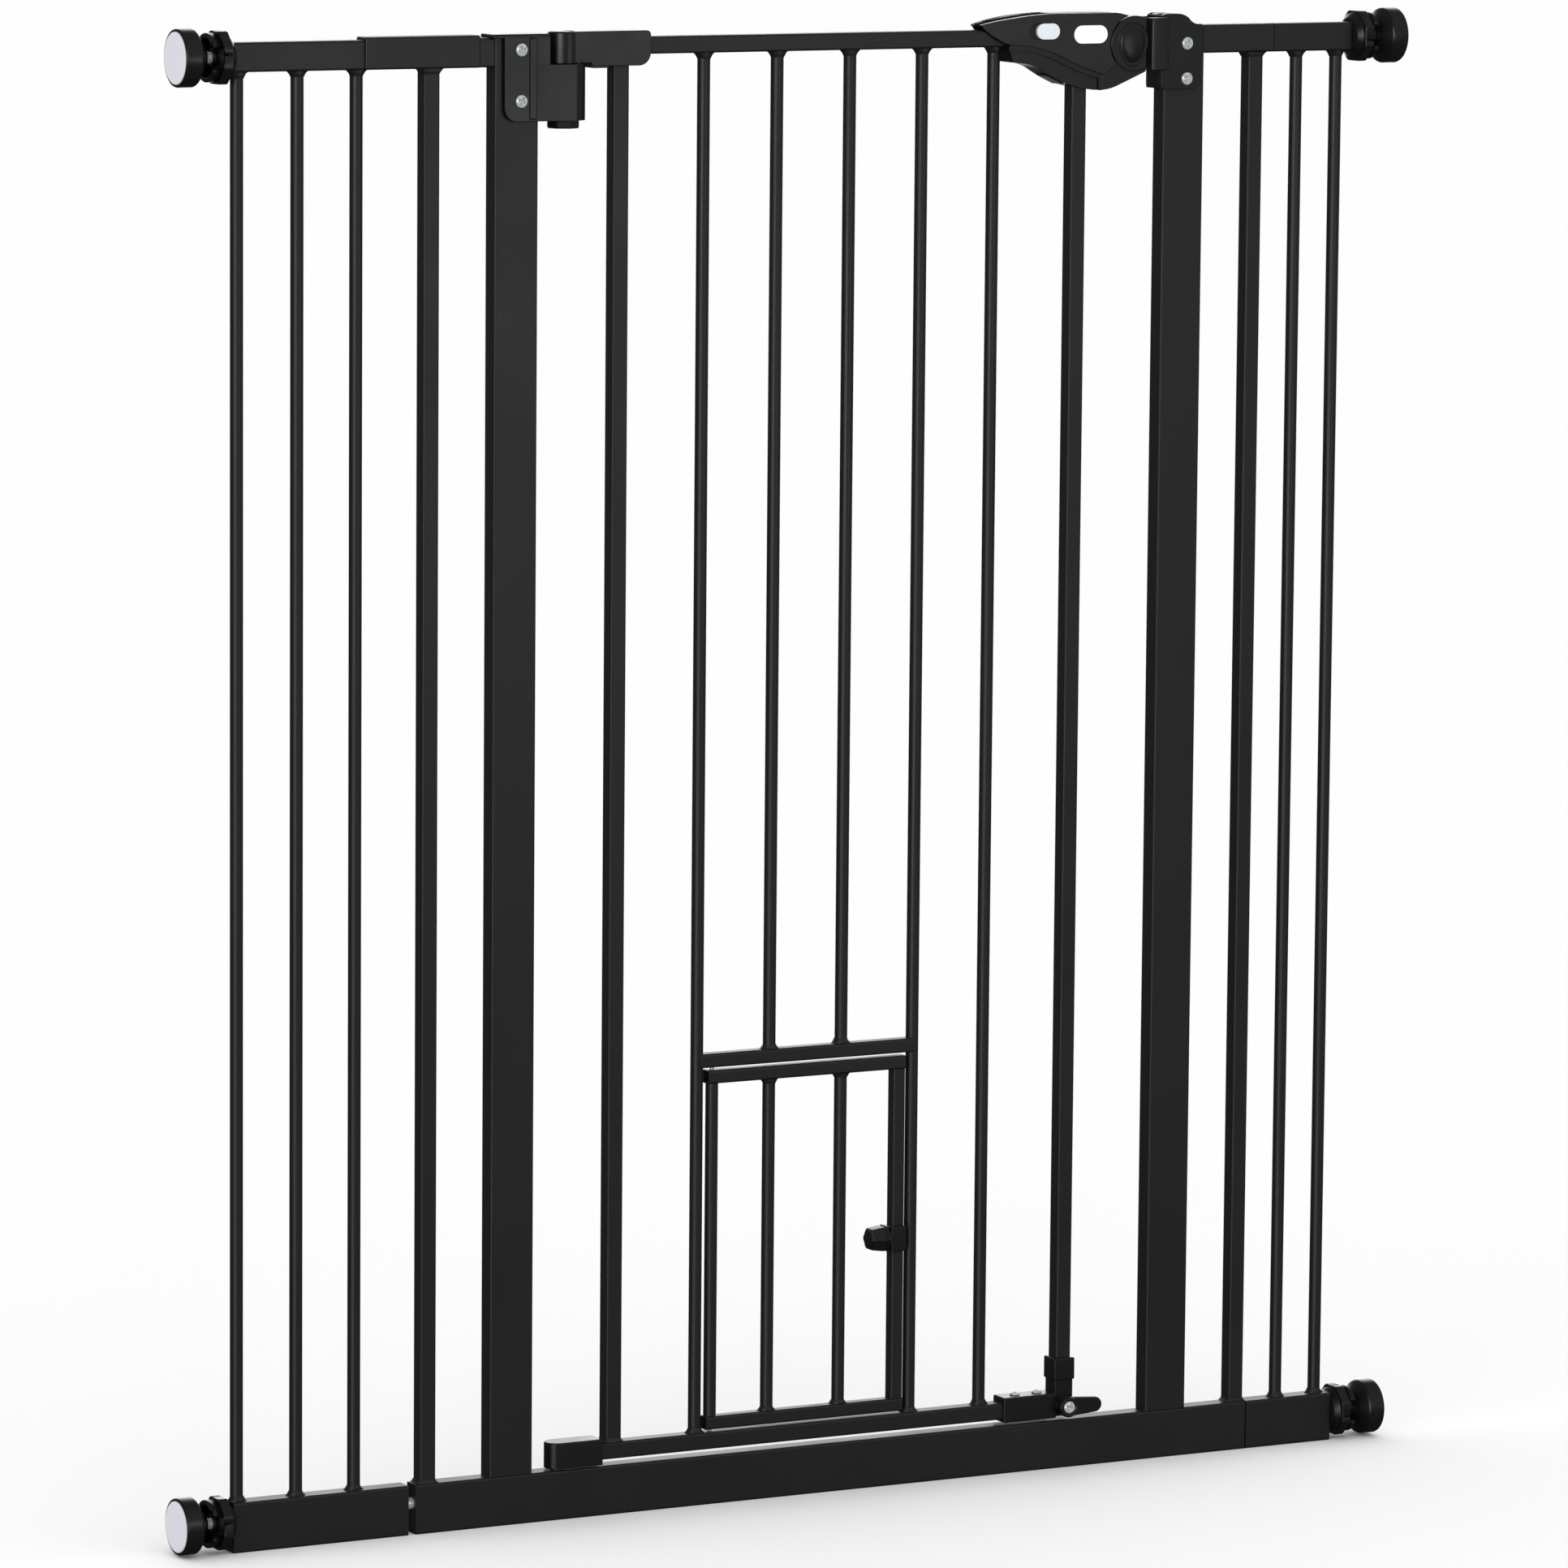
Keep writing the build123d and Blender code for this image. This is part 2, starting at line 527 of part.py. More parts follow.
# Latch lever: a hollow shell over the housing, open below, with a tongue that turns on the pivot.
lever_top = [(133.0, 1033.6), (140.0, 1036.2), (150.0, 1038.3), (164.0, 1039.7), (200.0, 1040.0),
             (237.5, 1039.6), (246.0, 1037.9)]
lever_outline = lever_top + [(246.0, 1020.0), (240.0, 1003.8), (234.0, 999.5)]
lever_outline += list(reversed(lever_curve)) + [(134.0, 1031.0)]
cavity = [(141.0, 1031.4), (244.8, 1031.4), (244.8, 990.0), (141.0, 990.0)]
lever_blank = profile_plate(lever_outline, -latch_half_d, latch_half_d)
lever_hollow = profile_plate(cavity, -lever_skin_y, lever_skin_y)
with BuildPart() as latch_lever:
    add(lever_blank)
    fillet(latch_lever.edges().filter_by(Axis.Z).group_by(Axis.X)[0], 4.0)
    add(lever_hollow, mode=Mode.SUBTRACT)
    add(box(130.0, 144.0, -6.6, 6.6, 1010.0, 1031.4), mode=Mode.SUBTRACT)
    add(rod_y(pivot_x, pivot_z, lever_arc_r, -latch_half_d - 1, latch_half_d + 1), mode=Mode.SUBTRACT)
    with BuildSketch(Plane.XZ.offset(tongue_half)):
        with BuildLine():
            CenterArc((pivot_x, pivot_z), tongue_r, 0, 360)
            Polyline((238.0, 1032.5), (244.0, 1037.5))
        make_hull()
    extrude(amount=-2 * tongue_half)
    add(rod_y(pivot_x, pivot_z, latch_pin_r + running_gap, -5, 5), mode=Mode.SUBTRACT)
    with BuildSketch(Plane.XZ.offset(latch_half_d)):
        with Locations(((slot_x0 + slot_x1) / 2, (slot_z0 + slot_z1) / 2)):
            SlotOverall(slot_x1 - slot_x0, slot_z1 - slot_z0)
        with Locations(((badge_x0 + badge_x1) / 2, (badge_z0 + badge_z1) / 2)):
            SlotOverall(badge_x1 - badge_x0, badge_z1 - badge_z0)
    extrude(amount=-2.6, mode=Mode.SUBTRACT)
keep(latch_lever.part, "latch_lever")

with BuildPart() as latch_badge:
    with BuildSketch(Plane.XZ.offset(latch_half_d - 2.6)):
        with Locations(((badge_x0 + badge_x1) / 2, (badge_z0 + badge_z1) / 2)):
            SlotOverall(badge_x1 - badge_x0, badge_z1 - badge_z0)
    extrude(amount=2.6)
keep(latch_badge.part, "latch_badge")

with BuildPart() as lock_slider:
    with BuildSketch(Plane.XZ.offset(latch_half_d - 2.3)):
        with Locations(((slider_x0 + slot_x1 - 0.3) / 2, (slot_z0 + slot_z1) / 2)):
            SlotOverall(slot_x1 - 0.3 - slider_x0, slot_z1 - slot_z0 - 0.6)
    extrude(amount=2.5)
    fillet(lock_slider.faces().sort_by(Axis.Y)[0].edges(), 0.5)
keep(lock_slider.part, "lock_slider")

# Cat door: a small frame of square tube hung on two pins in line with its hinge bar.
cat_half = cat_tube / 2
cat_rail_x0, cat_rail_x1 = cat_hinge_x - cat_half, cat_stile_x + cat_half


def cat_rail(z0, hole_z0):
    """A rail of the cat door, with a running hole for its hinge pin in the wall from hole_z0 up."""
    tube = level_tube(cat_rail_x0, cat_rail_x1, cat_tube, cat_tube, z0)
    with BuildPart() as rail:
        add(tube)
        add(rod_z(cat_hinge_x, 0, cat_pin_r + running_gap, hole_z0, hole_z0 + 4), mode=Mode.SUBTRACT)
    return rail.part


keep(cat_rail(cat_z1 - cat_tube, cat_z1 - 3), "cat_top_rail")
keep(cat_rail(cat_z0, cat_z0 - 1), "cat_bottom_rail")

cat_bar_z0, cat_bar_z1 = cat_z0 + cat_tube, cat_z1 - cat_tube
keep(round_bars((cat_hinge_x,) + cat_bars_x, cat_bar_z0, cat_bar_z1), "cat_bars")

stile_tube = upright_tube(cat_stile_x, cat_tube, cat_tube, cat_bar_z0, cat_bar_z1)
with BuildPart() as cat_stile:
    add(stile_tube)
    add(rod_x(0, knob_z, knob_pin_r + running_gap, cat_stile_x - 10, cat_stile_x + 10),
        mode=Mode.SUBTRACT)
keep(cat_stile.part, "cat_stile")

with BuildPart() as cat_hinge_pins:
    add(rod_z(cat_hinge_x, 0, cat_pin_r, cat_z1 - 6, cross_z0 + 3))
    add(rod_z(cat_hinge_x, 0, cat_pin_r, door_rail_z1, cat_z0 + 6))
keep(cat_hinge_pins.part, "cat_hinge_pins")

# Knob housing: a moulded saddle over the cat door's stile, bored for the plunger.
saddle_half_d, saddle_half_h = 8.6, 9.0
saddle_x0, saddle_x1 = cat_stile_x - cat_half, cat_stile_x + cat_half
with BuildPart() as knob_housing:
    add(box(saddle_x0, saddle_x1, -saddle_half_d, -cat_half, knob_z - saddle_half_h,
            knob_z + saddle_half_h))
    add(box(saddle_x0 - 2.6, saddle_x0, -saddle_half_d, cat_half, knob_z - saddle_half_h,
            knob_z + saddle_half_h))
    fillet(knob_housing.faces().sort_by(Axis.Y)[0].edges(), 1.2)
    add(rod_x(0, knob_z, knob_pin_r + running_gap, saddle_x0 - 5, saddle_x0 + 1), mode=Mode.SUBTRACT)
keep(knob_housing.part, "knob_housing")

knob_x0, knob_x1 = 57.0, saddle_x0 - 2.6 - 0.4
knob_r0, knob_r1 = 8.6, 10.4
with BuildPart() as plunger_knob:
    with BuildSketch(Plane.YZ.offset(knob_x0)):
        with Locations((0, knob_z)):
            RegularPolygon(knob_r0, 6)
    with BuildSketch(Plane.YZ.offset(knob_x1)):
        with Locations((0, knob_z)):
            RegularPolygon(knob_r1, 6)
    loft()
    fillet(plunger_knob.faces().sort_by(Axis.X)[0].edges(), 1.5)
    add(rod_x(0, knob_z, knob_pin_r, knob_x0 + 4, knob_x1 + 1), mode=Mode.SUBTRACT)
keep(plunger_knob.part, "plunger_knob")

with BuildPart() as plunger_pin:
    add(rod_x(0, knob_z, knob_pin_r, knob_x0 + 4, knob_pin_tip_x))
    fillet(plunger_pin.edges().sort_by(Axis.X)[-1], 1.0)
keep(plunger_pin.part, "plunger_pin")


# Wall spindles: made once for the +X side at height 0, then set at the four rail ends.
def handwheel():
    """An eight-sided nut, hollow towards the pad, bored for the spindle."""
    with BuildPart() as wheel:
        with BuildSketch(Plane.YZ.offset(wheel_x0)):
            Circle(13.0)
        with BuildSketch(Plane.YZ.offset(wheel_x0 + 3.0)):
            Circle(16.4)
        loft()
        with BuildSketch(Plane.YZ.offset(wheel_x0 + 3.0)):
            Circle(16.4)
        extrude(amount=4.2)
        with BuildSketch(Plane.YZ.offset(wheel_x0 + 7.2)):
            RegularPolygon(18.2, 8)
        extrude(amount=wheel_x1 - wheel_x0 - 7.2)
        with BuildSketch(Plane.YZ.offset(wheel_x1)):
            Circle(14.4)
            Circle(7.0, mode=Mode.SUBTRACT)
        extrude(amount=-9.0, mode=Mode.SUBTRACT)
        with BuildSketch(Plane.YZ.offset(wheel_x1)):
            with PolarLocations(16.9, 8, 22.5):
                Rectangle(4.4, 2.2)
        extrude(amount=-6.0, mode=Mode.SUBTRACT)
        with BuildSketch(Plane.YZ.offset(wheel_x0)):
            Circle(spindle_r + running_gap)
        extrude(amount=wheel_x1 - wheel_x0, mode=Mode.SUBTRACT)
    return wheel.part


def wall_pad():
    """A round pad with a coned back, screwed on the spindle's end, and a soft face set in its front."""
    with BuildPart() as pad:
        with BuildSketch(Plane.XZ):
            with BuildLine():
                Polyline((pad_x0, 0), (pad_x0, pad_hub_r), (pad_rim_x0, pad_r), (pad_x1 - 0.8, pad_r),
                         (pad_x1, pad_r - 0.8), (pad_x1, pad_face_r), (pad_face_x1, pad_face_r - 0.4),
                         (pad_face_x1, 0), close=True)
            make_face()
        revolve(axis=Axis.X)
        add(rod_x(0, 0, spindle_r, pad_x0 - 1, pad_rim_x0 + 5), mode=Mode.SUBTRACT)
    return pad.part


def spindle():
    with BuildPart() as rod:
        with BuildSketch(Plane.YZ.offset(pad_rim_x0 + 5 - spindle_len)):
            Circle(spindle_r)
        extrude(amount=spindle_len)
    return rod.part


def at_corner(part, side, height):
    """Set a +X-side piece at one rail end; the -X side is the same piece turned about Z."""
    turn = Rot(0, 0, 0) if side > 0 else Rot(0, 0, 180)
    return Pos(0, 0, height) * turn * part


corners = (("top_left", -1, top_spindle_z), ("top_right", 1, top_spindle_z),
           ("bottom_left", -1, bottom_spindle_z), ("bottom_right", 1, bottom_spindle_z))
one_wheel, one_pad, one_rod = handwheel(), wall_pad(), spindle()
for corner, side, height in corners:
    keep(at_corner(one_wheel, side, height), "handwheel_" + corner)
    keep(at_corner(one_pad, side, height), "pad_" + corner)
    keep(at_corner(one_rod, side, height), "spindle_" + corner)

os.makedirs("parts", exist_ok=True)
for name, part in parts:
    export_step(part, "parts/" + name + ".step")
print(len(parts), "parts written")
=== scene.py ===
"""A pressure-fit pet gate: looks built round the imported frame, piece by piece, in metres."""

from math import cos, pi, radians, sin

import bmesh
import bpy
from mathutils import Matrix, Vector, noise


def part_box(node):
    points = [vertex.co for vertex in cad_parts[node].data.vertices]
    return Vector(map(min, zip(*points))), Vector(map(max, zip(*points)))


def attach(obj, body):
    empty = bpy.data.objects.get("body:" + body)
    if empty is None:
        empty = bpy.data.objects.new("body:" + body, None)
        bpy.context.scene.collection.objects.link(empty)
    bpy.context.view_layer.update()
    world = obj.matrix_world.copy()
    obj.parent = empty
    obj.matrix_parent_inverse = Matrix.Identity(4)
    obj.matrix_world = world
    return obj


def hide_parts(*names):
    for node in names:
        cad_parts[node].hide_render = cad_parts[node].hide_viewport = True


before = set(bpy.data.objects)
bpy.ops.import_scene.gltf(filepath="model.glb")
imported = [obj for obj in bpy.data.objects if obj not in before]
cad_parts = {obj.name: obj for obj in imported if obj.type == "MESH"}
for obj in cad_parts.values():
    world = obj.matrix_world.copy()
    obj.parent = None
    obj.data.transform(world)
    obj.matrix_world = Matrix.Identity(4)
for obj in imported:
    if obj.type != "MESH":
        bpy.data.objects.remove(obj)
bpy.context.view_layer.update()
mm = 0.001


# Studio: a pale matt floor that runs out of sight, an even white surround, and two large soft
# lights, one high on the left in front and a weaker one on the right.
def from_hex(code):
    """An sRGB colour, written as six hex digits, as linear red, green, blue and alpha."""
    channels = [int(code[i:i + 2], 16) / 255 for i in (0, 2, 4)]
    return [c / 12.92 if c <= 0.04045 else ((c + 0.055) / 1.055) ** 2.4 for c in channels] + [1.0]


def add_node(tree, kind, inputs=None, **settings):
    """Adds one node to a tree, with its settings; an input is a value or another node's output."""
    added = tree.nodes.new(kind)
    for name, value in settings.items():
        setattr(added, name, value)
    for socket, value in (inputs or {}).items():
        if isinstance(value, bpy.types.NodeSocket):
            tree.links.new(value, added.inputs[socket])
        else:
            added.inputs[socket].default_value = value
    return added


def finish_material(name, shader_inputs, build=None):
    """A material with one Principled shader; build(tree) returns the inputs that patterns drive."""
    material = bpy.data.materials.new(name)
    material.use_nodes = True
    tree = material.node_tree
    tree.nodes.clear()
    inputs = dict(shader_inputs)
    if build:
        inputs.update(build(tree))
    shader = add_node(tree, "ShaderNodeBsdfPrincipled", inputs)
    add_node(tree, "ShaderNodeOutputMaterial", {"Surface": shader.outputs["BSDF"]})
    return material


def object_from(name, bm, material, smooth=True):
    """Turns a finished bmesh, whose place is in its vertices, into an object with one material."""
    mesh = bpy.data.meshes.new(name)
    bm.to_mesh(mesh)
    bm.free()
    for face in mesh.polygons:
        face.use_smooth = smooth
    mesh.materials.append(material)
    made = bpy.data.objects.new(name, mesh)
    bpy.context.scene.collection.objects.link(made)
    return made


floor_half = 40.0
floor_bm = bmesh.new()
bmesh.ops.create_grid(floor_bm, x_segments=1, y_segments=1, size=floor_half)
pale_floor = finish_material("pale matt floor", {"Base Color": from_hex("F6F6F6"), "Roughness": 0.9,
                                                 "Specular IOR Level": 0.0})
floor = object_from("floor", floor_bm, pale_floor, smooth=False)
floor.visible_glossy = False

# The surround lights evenly. What gloss reflects is darker low down, as in a studio where the white
# card ends, with one bright strip on the left for edges and bars and one behind for upward faces.
surround = bpy.data.worlds.new("white surround")
surround.use_nodes = True
sky = surround.node_tree
sky.nodes.clear()
toward = add_node(sky, "ShaderNodeTexCoord").outputs["Generated"]


def card(direction, from_min, from_max, low, high):
    """The level of a soft-edged card that gloss sees in one direction."""
    facing = add_node(sky, "ShaderNodeVectorMath", {0: toward, 1: Vector(direction).normalized()},
                      operation="DOT_PRODUCT")
    return add_node(sky, "ShaderNodeMapRange", {"Value": facing.outputs["Value"], "From Min": from_min,
                    "From Max": from_max, "To Min": low, "To Max": high},
                    interpolation_type="SMOOTHSTEP").outputs["Result"]


facing_up = add_node(sky, "ShaderNodeSeparateXYZ", {"Vector": toward})
lift = add_node(sky, "ShaderNodeMapRange", {"Value": facing_up.outputs["Z"], "From Min": -0.30,
                "From Max": 0.10, "To Min": 0.35, "To Max": 1.3}, interpolation_type="SMOOTHSTEP")
front_and_left = add_node(sky, "ShaderNodeMath", {0: card((0.50, -0.86, 0.05), -0.2, 0.95, 0.08, 0.26),
                          1: card((-0.743, -0.669, 0.0), 0.90, 0.995, 0.0, 2.6)}, operation="ADD")
lifted = add_node(sky, "ShaderNodeMath", {0: front_and_left.outputs["Value"], 1: lift.outputs["Result"]},
                  operation="MULTIPLY")
gloss_level = add_node(sky, "ShaderNodeMath", {0: lifted.outputs["Value"],
                       1: card((0.46, 0.87, 0.17), 0.84, 0.99, 0.0, 2.4)}, operation="ADD")
seen = add_node(sky, "ShaderNodeLightPath")
level = add_node(sky, "ShaderNodeMix", {"Factor": seen.outputs["Is Glossy Ray"], "A": 1.07,
                 "B": gloss_level.outputs["Value"]})
light = add_node(sky, "ShaderNodeBackground", {"Color": (1, 1, 1, 1), "Strength": level.outputs["Result"]})
add_node(sky, "ShaderNodeOutputWorld", {"Surface": light.outputs["Background"]})
bpy.context.scene.world = surround
bpy.context.scene.view_settings.view_transform = "Standard"


def soft_light(name, place, aim, size, power):
    """A soft box of the given width and height at place, turned towards aim."""
    lamp = bpy.data.lights.new(name, "AREA")
    lamp.shape = "RECTANGLE"
    lamp.size, lamp.size_y = size
    lamp.energy = power
    holder = bpy.data.objects.new(name, lamp)
    holder.location = place
    holder.rotation_euler = (Vector(aim) - Vector(place)).to_track_quat("-Z", "Y").to_euler()
    bpy.context.scene.collection.objects.link(holder)


soft_light("strip light on the left", (-2.3, -1.9, 1.6), (0, 0, 0.8), (0.5, 1.6), 6)
soft_light("card on the right", (0.75, -2.3, 0.80), (-0.3, 0, 0.8), (1.0, 0.7), 3.0)

# Camera: a long lens from the left and a little above, so that the front and the hinge-side faces show.
camera_data = bpy.data.cameras.new("camera")
camera_data.lens = 205.66
camera_data.sensor_width = 36.0
camera = bpy.data.objects.new("camera", camera_data)
camera_turn, camera_tilt, camera_roll = radians(27.90), radians(7.69), radians(0.48)
camera.matrix_world = (Matrix.Translation((-2.9128, -5.4769, 1.3429))
                       @ Matrix.Rotation(-camera_turn, 4, "Z")
                       @ Matrix.Rotation(pi / 2 - camera_tilt, 4, "X")
                       @ Matrix.Rotation(camera_roll, 4, "Z"))
bpy.context.scene.collection.objects.link(camera)
bpy.context.scene.camera = camera


# Steel tubes: welded square, flat-sided and round mild-steel tube, powder-coated satin black after
# welding. The coat gives a soft even sheen, a faint orange-peel and nothing of the metal below.
def powder_coat_pattern(tree):
    place = add_node(tree, "ShaderNodeTexCoord").outputs["Object"]
    # The orange-peel is about 2 mm across, and the sheen changes slowly, over about 110 mm.
    peel = add_node(tree, "ShaderNodeTexNoise", {"Vector": place, "Scale": 420.0, "Detail": 2.0})
    patch = add_node(tree, "ShaderNodeTexNoise", {"Vector": place, "Scale": 9.0, "Detail": 3.0})
    sheen = add_node(tree, "ShaderNodeMapRange", {"Value": patch.outputs["Fac"], "From Min": 0.3,
                     "From Max": 0.7, "To Min": 0.36, "To Max": 0.46})
    relief = add_node(tree, "ShaderNodeBump", {"Height": peel.outputs["Fac"], "Strength": 0.12,
                      "Distance": 0.0004})
    tint = add_node(tree, "ShaderNodeMix", {"Factor": patch.outputs["Fac"], "A": from_hex("121314"),
                    "B": from_hex("161718")}, data_type="RGBA")
    return {"Base Color": tint.outputs["Result"], "Roughness": sheen.outputs["Result"],
            "Normal": relief.outputs["Normal"]}


powder_coat = finish_material("satin black powder coat", {"IOR": 1.5}, powder_coat_pattern)


def cover(material, *names):
    """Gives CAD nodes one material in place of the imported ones."""
    for name in names:
        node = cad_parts[name]
        node.data.materials.clear()
        node.data.materials.append(material)


cover(powder_coat, "bottom_rail", "hinge_post", "latch_post", "left_outer_post", "right_outer_post",
      "left_top_stub", "right_top_stub", "left_ext_top_rail", "left_ext_bottom_rail", "left_ext_bars",
      "left_sleeve", "right_ext_top_rail", "right_ext_bottom_rail", "right_ext_bars",
      "door_top_rail", "door_bottom_rail", "door_hinge_stile", "door_latch_stile", "door_bars",
      "door_cross_rail", "cat_top_rail", "cat_bottom_rail", "cat_bars", "cat_stile")


# Welds: each bar and post is run round with a small bead where it meets a rail, then coated over.
# The beads flare out along the rail and are slightly uneven.
noise.seed_set(1)


def weld_bead(bm, x, z, up, half, flare, rise, square=False):
    """A flared collar round a bar at (x, z) in millimetres; up is 1 on a rail and -1 under one."""
    if square:
        made = bmesh.ops.create_grid(bm, x_segments=1, y_segments=1, size=1.0)
        corner_cut = bmesh.ops.bevel(bm, geom=made["verts"], offset=0.3, segments=3, profile=0.5,
                                     affect="VERTICES", material=-1)
        ring = corner_cut["verts"]
        bmesh.ops.delete(bm, geom=list({face for vert in ring for face in vert.link_faces}),
                         context="FACES_ONLY")
    else:
        ring = bmesh.ops.create_circle(bm, segments=20, radius=1.0)["verts"]
    wide_x, wide_y = (half + flare) * mm, (half + 0.7) * mm
    bmesh.ops.scale(bm, verts=ring, vec=(wide_x, wide_y, 1.0))
    bmesh.ops.translate(bm, verts=ring, vec=(x * mm, 0, z * mm))
    edges = list({edge for vert in ring for edge in vert.link_edges})
    width = half + flare
    for step, share in ((0.28, 0.55), (0.30, 0.25), (0.42, 0.0)):
        new_width = half + 0.05 + flare * share
        grown = bmesh.ops.extrude_edge_only(bm, edges=edges)["geom"]
        verts = [g for g in grown if isinstance(g, bmesh.types.BMVert)]
        edges = [g for g in grown if isinstance(g, bmesh.types.BMEdge)
                 and all(vert in verts for vert in g.verts)]
        bmesh.ops.scale(bm, verts=verts, vec=(new_width / width, 1.0, 1.0),
                        space=Matrix.Translation((-x * mm, 0, -z * mm)))
        if share == 0.0:
            bmesh.ops.scale(bm, verts=verts, vec=(1.0, (half + 0.05) / (half + 0.7), 1.0))
        bmesh.ops.translate(bm, verts=verts, vec=(0, 0, up * rise * step * mm))
        for vert in verts:
            if share:
                vert.co += noise.noise_vector(vert.co * 320) * 0.35 * mm
        width = new_width
    bmesh.ops.recalc_face_normals(bm, faces=bm.faces)


def weld_row(name, body, beads):
    """One piece for a run of beads, each (x, z, up, half, flare, rise, square)."""
    bm = bmesh.new()
    for bead in beads:
        weld_bead(bm, *bead)
    row = object_from(name, bm, powder_coat)
    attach(row, body)
    return row


frame_rail_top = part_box("bottom_rail")[1].z / mm
stub_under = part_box("left_top_stub")[0].z / mm
door_low_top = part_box("door_bottom_rail")[1].z / mm
door_high_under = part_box("door_top_rail")[0].z / mm
cross_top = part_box("door_cross_rail")[1].z / mm
cat_low_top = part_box("cat_bottom_rail")[1].z / mm
cat_high_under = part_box("cat_top_rail")[0].z / mm
bar_half, post_half = 4.5, 6.0


def middle(node):
    """The X of a node's middle, in millimetres."""
    low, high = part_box(node)
    return (low.x + high.x) / 2 / mm


left_bars, right_bars = (-431.8, -387.3, -343.5), (394.5, 427.3)
weld_row("left_extension_welds", "frame",
         [(x, frame_rail_top, 1, bar_half, 3.2, 3.6) for x in left_bars]
         + [(x, stub_under, -1, bar_half, 3.6, 4.2) for x in left_bars])
weld_row("right_extension_welds", "frame",
         [(x, frame_rail_top, 1, bar_half, 3.2, 3.6) for x in right_bars]
         + [(x, stub_under, -1, bar_half, 3.6, 4.2) for x in right_bars])
outer_posts = (middle("left_outer_post"), middle("right_outer_post"))
weld_row("frame_welds", "frame",
         [(x, frame_rail_top, 1, post_half, 2.6, 2.8, True) for x in outer_posts]
         + [(x, stub_under, -1, post_half, 3.0, 3.4, True) for x in outer_posts])
door_bars = (-80.0, -23.0, 34.0, 91.0, 148.0)
weld_row("door_welds", "door",
         [(x, door_high_under, -1, bar_half, 3.6, 4.2) for x in door_bars]
         + [(x, door_low_top, 1, bar_half, 3.2, 3.6) for x in (door_bars[0], door_bars[3], door_bars[4])]
         + [(x, cross_top, 1, bar_half, 3.0, 3.2) for x in door_bars[1:3]]
         + [(middle("door_hinge_stile"), door_low_top, 1, post_half, 2.6, 2.8, True)])
cat_bars = (-23.0, 34.0)
weld_row("cat_door_welds", "cat_door",
         [(x, cat_low_top, 1, bar_half, 2.6, 3.0) for x in cat_bars]
         + [(x, cat_high_under, -1, bar_half, 2.6, 3.0) for x in cat_bars])


# Moulded parts: injection-moulded black nylon, with a fine spark-eroded skin, a shade glossier than
# the coated steel, and every outer edge rounded where the mould was.
def moulded_pattern(tree):
    place = add_node(tree, "ShaderNodeTexCoord").outputs["Object"]
    # The grain is drawn about 1 mm across, coarser than a real 0.1 mm, so that it still shows.
    grain = add_node(tree, "ShaderNodeTexNoise", {"Vector": place, "Scale": 900.0, "Detail": 2.0})
    patch = add_node(tree, "ShaderNodeTexNoise", {"Vector": place, "Scale": 30.0, "Detail": 2.0})
    sheen = add_node(tree, "ShaderNodeMapRange", {"Value": patch.outputs["Fac"], "From Min": 0.3,
                     "From Max": 0.7, "To Min": 0.25, "To Max": 0.33})
    relief = add_node(tree, "ShaderNodeBump", {"Height": grain.outputs["Fac"], "Strength": 0.08,
                      "Distance": 0.0002})
    return {"Roughness": sheen.outputs["Result"], "Normal": relief.outputs["Normal"]}


black_plastic = finish_material("black moulded nylon", {"Base Color": from_hex("0E0F10"), "IOR": 1.47},
                                moulded_pattern)
cover(black_plastic, "wall_end_plugs", "joint_plugs", "hinge_nut")

planes = {"XZ": Matrix(((1, 0, 0), (0, 0, 1), (0, 1, 0))).transposed(),
          "XY": Matrix.Identity(3),
          "YZ": Matrix(((0, 1, 0), (0, 0, 1), (1, 0, 0))).transposed()}


def slab(corners, low, high, plane="XZ", rims=(0.6, 0.6)):
    """A thick plate from (u, v, rounding) corners in a plane, in millimetres, with rounded rims."""
    bm = bmesh.new()
    verts = [bm.verts.new((u * mm, v * mm, low * mm)) for u, v, _ in corners]
    bm.faces.new(verts)
    for vert, (_, _, rounding) in zip(verts, corners):
        if rounding:
            bmesh.ops.bevel(bm, geom=[vert], offset=rounding * mm, segments=6 if rounding < 10 else 18,
                            profile=0.5, affect="VERTICES", material=-1)
    grown = bmesh.ops.extrude_face_region(bm, geom=bm.faces[:])["geom"]
    bmesh.ops.translate(bm, vec=(0, 0, (high - low) * mm),
                        verts=[g for g in grown if isinstance(g, bmesh.types.BMVert)])
    for level, rim in ((low, rims[0]), (high, rims[1])):
        if rim:
            edges = [edge for edge in bm.edges
                     if all(abs(vert.co.z - level * mm) < 1e-7 for vert in edge.verts)]
            bmesh.ops.bevel(bm, geom=edges, offset=rim * mm, segments=3, profile=0.5,
                            affect="EDGES", material=-1, clamp_overlap=True)
    bmesh.ops.rotate(bm, verts=bm.verts, cent=(0, 0, 0), matrix=planes[plane])
    bmesh.ops.recalc_face_normals(bm, faces=bm.faces)
    return bm


def block(x, y, z, rim=0.8):
    """A box between pairs of X, Y and Z in millimetres, with rounded edges."""
    size = Vector((x[1] - x[0], y[1] - y[0], z[1] - z[0])) * mm
    centre = Vector((x[0] + x[1], y[0] + y[1], z[0] + z[1])) * mm / 2
    bm = bmesh.new()
    bmesh.ops.create_cube(bm, size=1.0, matrix=Matrix.Translation(centre) @ Matrix.Diagonal((*size, 1)))
    bmesh.ops.bevel(bm, geom=bm.edges[:], offset=rim * mm, segments=3, profile=0.5, affect="EDGES",
                    material=-1, clamp_overlap=True)
    return bm


def two_sides(corners, inner, outer, rim):
    """The same plate at the front and at the back, each with its outer rim rounded."""
    return (slab(corners, -outer, -inner, rims=(rim, 0)), slab(corners, inner, outer, rims=(0, rim)))


